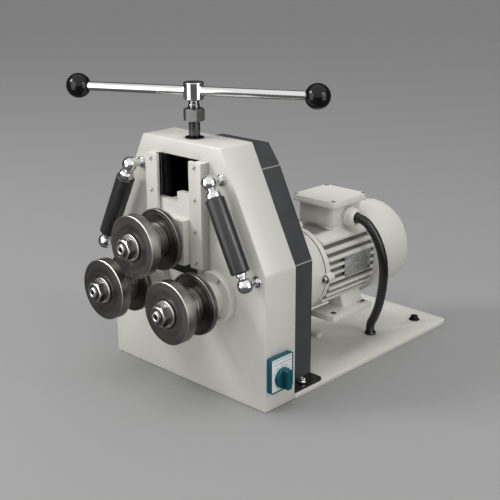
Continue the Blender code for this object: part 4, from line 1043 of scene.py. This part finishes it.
class BENDER_OT_rolls(bpy.types.Operator):
    """Turn the three rolls with their discs, spacers, shafts, washers and nuts"""

    bl_idname = "bender.rolls"
    bl_label = "Rolls"
    # Radii in millimetres of a disc's bore and of the recess that takes the washer
    bore = 12.1
    seat = 23.4

    def execute(self, context):
        for roll in ("top_roll", "left_roll", "right_roll"):
            axis = axis_of(roll + "_front_disc")
            rolls = paints().rolls
            steel = turned_metal(roll + "_steel", rolls, 0.36, axis)
            # The front edge's chamfer gets a far brighter steel: a bare turned edge, brightened
            # further as a painted highlight.
            rim = turned_metal(roll + "_rim_steel", scaled(rolls, 4.2), 0.34, axis)
            tread = turned_metal(roll + "_tread_steel", scaled(rolls, 1.7), 0.36, axis)
            self.turn_front_disc(roll + "_front_disc", axis, (steel, rim, "screw_slot", tread))
            self.turn_rear_disc(roll + "_rear_disc", axis, (steel, tread))
            self.turn_spacer(roll + "_spacer", axis)
            self.turn_shaft(roll, axis, steel)
            front, back = depths(roll + "_washer")
            washer = run(front, (0, 10.3), (0, 21)) + run(back, (0, 21), (0, 10.3))
            turn(roll + "_washer", washer, "washer_zinc", axis, Y, 1.3 * mm)
            foot = Vector((axis.x, high(roll + "_nut").y, axis.z))
            hexagon_nut(roll + "_nut", 10.1 * mm, foot, -Y, ("nut_end", "nut_side", "washer_zinc"))
        return {"FINISHED"}

    def turn_front_disc(self, node, axis, tones):
        front, back = depths(node)
        radius = span(node).x / 2 / mm
        profile = run(front, (1.6, self.bore), (1.6, self.seat - 0.6), (0, self.seat))
        profile += run(front, (0, radius - 1.1), (1.1, radius))
        profile += run(back, (-1.2, radius), (0, radius - 1.2), (0, self.bore))

        # The chamfer on the front edge carries a painted highlight; the recess round the washer is
        # painted dark as shade.
        def tone(face):
            away = from_axis(face, axis) / mm
            deep = (face.center.y - front) / mm
            if away > radius - 1.05 and deep < 1.05:
                return 1
            if away < self.seat - 0.1 and deep < 2:
                return 2
            return 3 * (away > radius - 0.3)

        turn(node, profile, tones, axis, Y, 0.2 * mm, tone)

    def turn_rear_disc(self, node, axis, tones):
        """A disc with a fine ring in its face and a groove in its rim."""
        front, back = depths(node)
        radius = span(node).x / 2 / mm
        profile = run(front, (0, self.bore), (0, radius - 5.6), (0.7, radius - 5.2))
        profile += run(front, (0.7, radius - 4.6), (0, radius - 4.2))
        profile += run(front, (0, radius - 1.2), (1.2, radius))
        profile += run(back, (-4, radius), (-3.6, radius - 0.6), (-3, radius - 0.6), (-2.6, radius))
        profile += run(back, (-1.2, radius), (0, radius - 1.2), (0, self.bore))

        def tone(face):
            at_front = face.center.y < front + 1.15 * mm
            return at_front and from_axis(face, axis) > (radius - 1.15) * mm

        turn(node, profile, tones, axis, Y, 0.15 * mm, tone)

    def turn_spacer(self, node, axis):
        front, back = depths(node)
        radius = span(node).x / 2 / mm
        rings = 5
        pitch = (back - front) / rings / mm
        profile = run(front, (0, self.bore))
        for i in range(rings):
            start = front + i * pitch * mm
            profile += run(start, (0, radius - 1.7), (0.9, radius - 1.7), (1.5, radius))
            profile += run(start, (pitch - 0.6, radius))
        profile += run(back, (0, radius - 0.6), (0, self.bore))
        turn(node, profile, "spacer_steel", axis, Y, 0.2 * mm)

    def turn_shaft(self, roll, axis, steel):
        """A shaft with a centre hole in its nose, a threaded end and a collar behind the discs."""
        nose, end = depths(roll + "_shaft")
        shoulder = low(roll + "_front_disc").y
        collar = high(roll + "_rear_disc").y + 0.3 * mm
        collar_length = 12.4 if roll == "top_roll" else 31.4
        profile = run(nose, (7, 0), (5.4, 4), (0.9, 4), (0, 5), (0, 7.2), (0.7, 8), (2.2, 10))
        profile += run(shoulder, (1.2, 10), (1.2, 12))
        profile += run(collar, (0, 12), (0, 19), (collar_length, 19), (collar_length, 12))
        profile += run(end, (0, 12), (0, 0))

        # The centre hole in the nose is painted dark as shade.
        def tone(face):
            away = from_axis(face, axis)
            if face.center.y < nose + 7.2 * mm and away < 4.1 * mm:
                return 1
            if face.center.y < shoulder and away > 8.1 * mm:
                return 3
            return 2 * (face.center.y > collar - mm)

        tones = ("washer_zinc", "screw_slot", steel, "nut_end")
        turn(roll + "_shaft", profile, tones, axis, Y, 0.5 * mm, tone)


def from_axis(face, axis):
    return math.hypot(face.center.x - axis.x, face.center.z - axis.z)


# Bearings


def spots_round(axis, depth, radius, count, first):
    """(place, direction) pairs on a circle round an axis along Y, facing forward."""
    spots = []
    for i in range(count):
        angle = math.radians(first + 360 / count * i)
        out = Vector((math.cos(angle), 0, math.sin(angle))) * radius
        spots.append((Vector((axis.x, depth, axis.z)) + out, -Y))
    return spots


class BENDER_OT_bearings(bpy.types.Operator):
    """Turn the bearing flanges, with their screws, and finish what is hidden in the housing"""

    bl_idname = "bender.bearings"
    bl_label = "Bearings and Gears"

    def execute(self, context):
        front = low("front_housing").y - FLANGE_THICKNESS
        places = []
        for node in ("bearing_flange_left", "bearing_flange_right"):
            axis = axis_of(node)
            boss, back = depths(node)
            profile = run(boss, (0.8, 20.3), (0, 21.1), (0, 25), (1, 26))
            profile += run(front, (0, 26), (0, 40.2), (1.8, 42)) + run(back, (0, 42), (0, 20.3))
            turn(node, profile, "cream_enamel", axis, Y)
            places += spots_round(axis, front, 34 * mm, 3, 60)
        set_sunk_screws("flange_screws", places)
        sides = ("left_front", "left_rear", "right_front", "right_rear")
        give("satin_steel", *(side + "_bearing" for side in sides))
        give("gear_steel", "roll_gear_left", "roll_gear_right", "idler_gear")
        give("grey_enamel", "reducer_housing")
        return {"FINISHED"}


# Motor


class BENDER_OT_motor(bpy.types.Operator):
    """Finish the motor's castings, covers and rating plate"""

    bl_idname = "bender.motor"
    bl_label = "Motor"

    def execute(self, context):
        axis = axis_of("motor_rotor")
        # The fins' grooves get darker paint towards their floor, a painted shade.
        hollow = (axis, 64.5 * mm, 69.5 * mm, 0.3)
        finned = enamel("finned_enamel", paints().cream, 0.42, 0.35, 0.05, hollow)
        dress("motor_front_shield", "cast_cream_enamel", sizes().edge)
        dress("motor_frame", (finned,), sizes().edge)
        dress("fan_cover", "cream_enamel", 0.4 * mm)
        give("gear_steel", "motor_stator", "motor_rotor")
        give("fan_plastic", "motor_fan")
        self.set_bolts(axis)
        self.rivet_plate(axis)
        return {"FINISHED"}

    def set_bolts(self, axis):
        seam = high("motor_front_shield").y
        places = spots_round(axis, seam - 4 * mm, 74.5 * mm, 4, -1)
        set_screws("shield_bolts", places, cap_head(6.2 * mm, 5.5 * mm, 0.6), "satin_steel")
        # The dark ring round each bolt's head and the dark disc in each socket are painted shade.
        set_screws("shield_bolt_rings", places, washer_shape(7.6 * mm, 0.6 * mm), "screw_slot")
        floors = [(place + direction * 2.3 * mm, direction) for place, direction in places]
        set_screws("shield_bolt_sockets", floors, washer_shape(3.3 * mm, 0.2 * mm), "screw_slot")
        front, back = depths("motor_frame")
        sole = low("motor_frame").z + 10 * mm
        holes = [
            (Vector((axis.x + side * 67 * mm, depth, sole)), Z)
            for side in (-1, 1)
            for depth in (front + 28.7 * mm, back - 32 * mm)
        ]
        set_screws("foot_screws", holes, cap_head(4.6 * mm, 0.6 * mm, 0.55), "screw_slot")
        joint = run(seam, (0, 70), (0, 71.1), (2.4, 71.1), (2.4, 70))
        fixed(turned_piece("shield_joint", joint, ("screw_slot",), axis, Y, 0.1 * mm))

    def rivet_plate(self, axis):
        front = low("front_housing").y + 233 * mm
        corner = Vector((axis.x + 70 * mm, front, 156 * mm))
        size = Vector((1.1 * mm, 70 * mm, 35 * mm))
        fixed(shaped("rating_plate", rounded_plate(corner, size, 2.5 * mm), "plate_metal"))
        inset = 3.6 * mm
        rivets = [
            (corner + Vector((size.x, depth, height)), X)
            for depth in (inset, size.y - inset)
            for height in (inset, size.z - inset)
        ]
        set_screws("plate_rivets", rivets, rivet_head(1.7 * mm), "screw_slot")


def rounded_plate(corner, size, radius, steps=6):
    """A plate in the YZ plane with rounded corners and softened front edges."""
    shape = bmesh.new()
    half = size / 2
    middle = corner + half
    soft = min(0.3 * mm, size.x * 0.4)
    rings = []
    layers = [(0, 0), (0, size.x - soft), (soft * 0.3, size.x - soft * 0.3), (soft, size.x)]
    for inset, along in layers:
        ring = []
        for quarter, (a, b) in enumerate([(1, 1), (-1, 1), (-1, -1), (1, -1)]):
            for i in range(steps + 1):
                angle = (quarter + i / steps) * math.pi / 2
                y = middle.y + a * (half.y - radius) + (radius - inset) * math.cos(angle)
                z = middle.z + b * (half.z - radius) + (radius - inset) * math.sin(angle)
                ring.append(shape.verts.new((corner.x + along, y, z)))
        rings.append(ring)
    return skinned(shape, rings)


class BENDER_OT_terminal_box(bpy.types.Operator):
    """Finish the terminal box, its lid with four screws, and the gland"""

    bl_idname = "bender.terminal_box"
    bl_label = "Terminal Box"

    def execute(self, context):
        dress("terminal_box", "cast_cream_enamel", sizes().edge)
        dress("terminal_lid", "cast_cream_enamel", 0)
        middle = centre("terminal_lid")
        reach = span("terminal_lid").x / 2 - 8 * mm
        top = high("terminal_lid").z
        corners = [(a * reach, b * reach) for a in (-1, 1) for b in (-1, 1)]
        places = [(Vector((middle.x + x, middle.y + y, top)), Z) for x, y in corners]
        # Dark discs under the lid screws are painted shade round their heads.
        set_screws("lid_screw_rims", places, shade_disc(3.6 * mm), "screw_slot")
        set_screws("lid_screws", places, slotted_head(2.7 * mm, 0.9 * mm), "satin_steel")
        axis = centre("cable_gland") * Vector((0, 1, 1))
        mouth = high("cable_gland").x
        profile = run(low("cable_gland").x, (0, 8.3), (0, 17), (6, 17), (8.5, 15.2))
        profile += run(mouth, (-4, 15.2), (-1.4, 13.6), (0, 11.4), (0, 9.6), (-3, 8.3))
        turn("cable_gland", profile, "cast_cream_enamel", axis, X)
        return {"FINISHED"}


# Hose


# The hose's middle line in millimetres, with its depth counted from the housing's front
ROUTE = (
    (119.9, 276, 249), (135.9, 276, 249), (150.5, 277.5, 246), (164, 280.5, 233), (174, 285.5, 213),
    (178.5, 292.5, 188), (175.5, 302.5, 162), (166, 316, 132), (153, 330, 100), (138.5, 342.5, 69),
    (124.5, 350.5, 43), (115.5, 353, 26), (115.5, 353, 4),
)
HOSE_RADIUS = 8 * mm


class BENDER_OT_hose(bpy.types.Operator):
    """Run the ribbed hose from the gland to the base plate, with its collar"""

    bl_idname = "bender.hose"
    bl_label = "Hose"

    def execute(self, context):
        front = low("front_housing").y
        route = [Vector((x * mm, front + y * mm, z * mm)) for x, y, z in ROUTE]
        guide = self.guide_line(route)
        bare = bpy.data.meshes.new_from_object(guide)
        bpy.data.meshes.remove(bare)
        values = {
            "Route": guide,
            "Radius": HOSE_RADIUS,
            "Pitch": sizes().rib_pitch,
            "Depth": sizes().rib_depth,
            "Finish": finish("hose_rubber"),
        }
        hose = self.rib_tree().grow("motor_conduit_ribbed", values, sharp=60)
        bpy.data.objects.remove(guide)
        stand_for(hose, "motor_conduit")
        foot = Vector((route[-1].x, route[-1].y, 0))
        top = low("base_plate").z + BASE_THICKNESS
        collar = run(top, (0, 8.2), (0, 10.4), (2.6, 10.4), (4.4, 9.6), (4.4, 8.2))
        fixed(turned_piece("hose_collar", collar, ("hose_rubber",), foot, Z))
        return {"FINISHED"}

    def guide_line(self, route):
        line = bpy.data.curves.new("hose_line", "CURVE")
        line.dimensions = "3D"
        line.resolution_u = 16
        spline = line.splines.new("BEZIER")
        spline.bezier_points.add(len(route) - 1)
        for point, place in zip(spline.bezier_points, route):
            point.co = place
            point.handle_left_type = point.handle_right_type = "AUTO"
        return added("hose_line", line)

    def rib_tree(self):
        """A tube along the route whose radius dips between its ribs."""
        tree = Tree("ribbed_hose", Route="Object", Radius="Float", Pitch="Float", Depth="Float")
        given = tree.given
        info = tree.node("GeometryNodeObjectInfo", {"Object": given["Route"]})
        step = tree.math("DIVIDE", given["Pitch"], 8.0)
        steps = {"Curve": info.outputs["Geometry"], "Length": step}
        even = tree.node("GeometryNodeResampleCurve", steps, mode="LENGTH").outputs[0]
        travelled = tree.node("GeometryNodeSplineParameter").outputs["Length"]
        turns = tree.math("MULTIPLY", tree.math("DIVIDE", travelled, given["Pitch"]), 2 * math.pi)
        wave = tree.math("MULTIPLY", tree.math("ADD", tree.math("SINE", turns), 1.0), 0.5)
        hollow = tree.math("SUBTRACT", 1.0, tree.math("POWER", wave, 0.7))
        dip = tree.math("MULTIPLY", hollow, given["Depth"])
        radius = tree.math("SUBTRACT", given["Radius"], dip)
        ring = tree.node("GeometryNodeCurvePrimitiveCircle", {"Resolution": 24, "Radius": 1.0})
        tube = {"Curve": even, "Profile Curve": ring.outputs[0], "Fill Caps": True, "Scale": radius}
        tree.end(tree.node("GeometryNodeCurveToMesh", tube).outputs[0])
        return tree


# Switch


class BENDER_OT_switch(bpy.types.Operator):
    """Finish the rotary switch, its face and its handle"""

    bl_idname = "bender.switch"
    bl_label = "Switch"

    def execute(self, context):
        grip = low("switch_knob").x + 5 * mm

        def in_shadow(face):
            return abs(face.normal.y) > 0.9 and face.center.x > grip

        dress("switch_body", "teal_plastic", 0.6 * mm)
        dress("switch_knob", ("teal_plastic", "teal_shadow"), 0.9 * mm, in_shadow)
        rim = 1.9 * mm
        start = low("switch_body")
        corner = Vector((high("switch_body").x - 1.45 * mm, start.y + rim, start.z + rim))
        size = span("switch_body") - Vector((0, 2 * rim, 2 * rim))
        size.x = 0.9 * mm
        fixed(shaped("switch_face", rounded_plate(corner, size, 1.5 * mm), "switch_face"))
        self.print_marks(corner.x + size.x, centre("switch_knob"))
        return {"FINISHED"}

    def print_marks(self, surface, middle):
        """Short strokes round the handle, under two header lines."""
        strokes = []
        for angle in map(math.radians, range(30, 151, 30)):
            way = Vector((0, math.cos(angle), math.sin(angle)))
            strokes.append((middle + way * 18.6 * mm, middle + way * 21.4 * mm, 0.55 * mm))
        body = centre("switch_body")
        half = span("switch_body").y / 2 - 4.5 * mm
        for drop in (5.5 * mm, 11.5 * mm):
            level = high("switch_body").z - drop
            ends = [Vector((0, body.y + side * half, level)) for side in (-1, 1)]
            strokes.append((*ends, 0.35 * mm))
        shape = bmesh.new()
        for near, far, thick in strokes:
            way = (far - near).normalized()
            across = Vector((0, -way.z, way.y)) * thick
            corners = [near - across, far - across, far + across, near + across]
            rings = [
                [shape.verts.new((surface + rise, corner.y, corner.z)) for corner in corners]
                for rise in (-0.02 * mm, 0.06 * mm)
            ]
            skinned(shape, rings)
        fixed(shaped("switch_marks", shape, "switch_print"))


# Side guides


class BENDER_OT_guides(bpy.types.Operator):
    """Turn the side guides: ball-ended posts, rails and the tubes that run on them"""

    bl_idname = "bender.guides"
    bl_label = "Side Guides"

    def execute(self, context):
        for side, way in (("left", -1), ("right", 1)):
            self.make_guide(side, way)
        return {"FINISHED"}

    def make_guide(self, side, way):
        stand_off = 27
        depth = low("front_housing").y - stand_off * mm
        upper = Vector((way * 91.1 * mm, depth, 357.8 * mm))
        lower = Vector((way * 164.1 * mm, depth, 214.2 * mm))
        along = (lower - upper).normalized()
        reach = (lower - upper).length
        tube_start = 23.8 * mm
        foot = reach - 19 * mm
        rod = run(0, (0, 0), (0, 6), (12.4, 6), (13, 9.2), (16.6, 12))
        rod += run(tube_start, (-0.5, 12.2), (-0.5, 5))
        rod += run(foot, (0, 5), (0, 8.5), (4.5, 8.5), (5.4, 6)) + run(reach, (0, 6), (0, 0))
        post = [(-place, radius) for place, radius in ball_run(12.5 * mm, 5.6 * mm, 36)]
        post += run((stand_off - 0.3) * mm, (-7.6, 5.6), (-5.6, 7.6), (-3.4, 7.6), (-3.4, 9))
        post += run((stand_off - 0.3) * mm, (-0.8, 9.4), (0, 9.4), (0, 0))
        whole = bmesh.new()
        shapes = [lathe(eased(rod, 0.6 * mm), 64, upper, along)]
        shapes += [lathe(post, 64, place, Y) for place in (upper, lower)]
        for shape in shapes:
            part = bpy.data.meshes.new("part")
            shape.to_mesh(part)
            shape.free()
            whole.from_mesh(part)
            bpy.data.meshes.remove(part)
        rail = shaped(f"guide_rail_{side}_turned", whole, "chrome_plating", sharp=40)
        stand_for(rail, "guide_rail_" + side)
        tube = run(tube_start, (0, 5.3), (0, 13), (2, 15))
        tube += run(foot, (-2.3, 15), (-0.3, 13), (-0.3, 5.3))
        turn("guide_sleeve_" + side, tube, "sleeve_tube", upper, along, 0.5 * mm)


# Stage


class BENDER_OT_stage(bpy.types.Operator):
    """Set the floor, the lamps and the camera"""

    bl_idname = "bender.stage"
    bl_label = "Stage"

    def execute(self, context):
        scene = context.scene
        stage = scene.bender_stage
        scene.view_settings.view_transform = "Standard"
        self.make_floor(stage)
        self.make_world(scene, stage)
        aim = Vector((0, -0.1, 0.3))
        self.make_lamp("key", (-1.84, -2.4, 2.35), aim, (1.1, 1.1), stage.key_power)
        top = self.make_lamp("top", (0.35, -1.2, 3.4), aim, (2.4, 2.4), stage.top_power)
        top.visible_glossy = False
        self.make_lamp("fill", (2.26, 0.13, 1.55), aim, (0.6, 0.6), stage.fill_power)
        for name, place in (("left_card", (-0.14, -1.06, 0.5)), ("right_card", (1.1, 0.0, 0.5))):
            card = self.make_lamp(name, place, (0, -0.08, 0.3), (0.6, 1), stage.card_power)
            card.visible_diffuse = False
        self.make_camera(scene, stage)
        return {"FINISHED"}

    def make_floor(self, stage):
        shape = bmesh.new()
        bmesh.ops.create_grid(shape, x_segments=1, y_segments=1, size=40)
        shape.transform(Matrix.Translation((0, 0, -0.2 * mm)))
        recipe = Recipe("floor_finish")
        path = recipe.node("ShaderNodeLightPath").outputs
        seen = recipe.tint(path["Is Camera Ray"], tuple(stage.floor_light), tuple(stage.floor))
        shade = recipe.tint(path["Is Glossy Ray"], seen, scaled(stage.floor, 0.26))
        shaped("floor", shape, recipe.done(shade, 0.85))

    def make_world(self, scene, stage):
        """An even light for plain surfaces, and for gloss a dim room, pale above and in front."""
        world = bpy.data.worlds.new("studio")
        world.use_nodes = True
        scene.world = world
        wiring = Wiring(world.node_tree)
        even = wiring.nodes["Background"]
        wiring.feed(even.inputs["Color"], (1, 1, 1, 1))
        wiring.feed(even.inputs["Strength"], stage.world_strength)
        where = wiring.node("ShaderNodeTexCoord").outputs["Generated"]
        pale_way = (0.38, -0.4, 0.83)
        lean = wiring.node("ShaderNodeVectorMath", {0: where, 1: pale_way}, operation="DOT_PRODUCT")
        ramp = wiring.node("ShaderNodeValToRGB", {0: lean.outputs["Value"]})
        shades = ((0, 0.05), (0.15, 0.06), (0.28, 0.3), (0.42, 0.65), (0.55, 0.95), (1, 1.1))
        stops = ramp.color_ramp.elements
        while len(stops) < len(shades):
            stops.new(0.5)
        for stop, (height, shade) in zip(stops, shades):
            stop.position = height
            stop.color = (shade, shade, shade, 1)
        room = wiring.node("ShaderNodeBackground", {"Color": ramp.outputs["Color"]})
        glossy = wiring.node("ShaderNodeLightPath").outputs["Is Glossy Ray"]
        values = {0: glossy, 1: even.outputs[0], 2: room.outputs[0]}
        mixed = wiring.node("ShaderNodeMixShader", values)
        wiring.feed(wiring.nodes["World Output"].inputs["Surface"], mixed.outputs[0])

    def make_lamp(self, name, place, target, size, power):
        data = bpy.data.lights.new(name, "AREA")
        data.shape = "ELLIPSE" if size[0] == size[1] else "RECTANGLE"
        data.size, data.size_y = size
        data.energy = power
        lamp = added(name, data)
        lamp.location = place
        lamp.rotation_euler = (Vector(place) - Vector(target)).to_track_quat("Z", "Y").to_euler()
        lamp.visible_camera = False
        return lamp

    def make_camera(self, scene, stage):
        data = bpy.data.cameras.new("camera")
        data.sensor_width = 36
        data.lens = stage.camera_lens
        data.clip_end = 100
        turns = (("Z", stage.camera_azimuth), ("X", math.pi / 2 - stage.camera_elevation))
        rotation = Matrix()
        for axis, angle in (*turns, ("Z", stage.camera_roll)):
            rotation = rotation @ Matrix.Rotation(angle, 4, axis)
        camera = added("camera", data)
        camera.matrix_world = Matrix.Translation(stage.camera_place) @ rotation
        scene.camera = camera


# Panel and registration


STEPS = (
    BENDER_OT_base,
    BENDER_OT_housing,
    BENDER_OT_cover,
    BENDER_OT_slide,
    BENDER_OT_hand_screw,
    BENDER_OT_rolls,
    BENDER_OT_bearings,
    BENDER_OT_motor,
    BENDER_OT_terminal_box,
    BENDER_OT_hose,
    BENDER_OT_switch,
    BENDER_OT_guides,
    BENDER_OT_stage,
)
GROUPS = {
    "bender_paints": BenderPaints,
    "bender_sizes": BenderSizes,
    "bender_stage": BenderStage,
}


class BENDER_PT_panel(bpy.types.Panel):
    """The steps that dress the pipe bending machine"""

    bl_label = "Pipe Bender"
    bl_idname = "BENDER_PT_panel"
    bl_space_type = "VIEW_3D"
    bl_region_type = "UI"
    bl_category = "Pipe Bender"

    def draw(self, context):
        for step in STEPS:
            self.layout.operator(step.bl_idname)
        for group, kind in GROUPS.items():
            box = self.layout.box()
            for name in kind.__annotations__:
                box.prop(getattr(context.scene, group), name)


def register():
    for entry in (*GROUPS.values(), *STEPS, BENDER_PT_panel):
        bpy.utils.register_class(entry)
    for group, kind in GROUPS.items():
        setattr(bpy.types.Scene, group, PointerProperty(type=kind))


def unregister():
    for group in GROUPS:
        delattr(bpy.types.Scene, group)
    for entry in reversed((*GROUPS.values(), *STEPS, BENDER_PT_panel)):
        bpy.utils.unregister_class(entry)


def main():
    register()
    for step in STEPS:
        family, name = step.bl_idname.split(".")
        getattr(getattr(bpy.ops, family), name)()


if __name__ == "__main__":
    main()
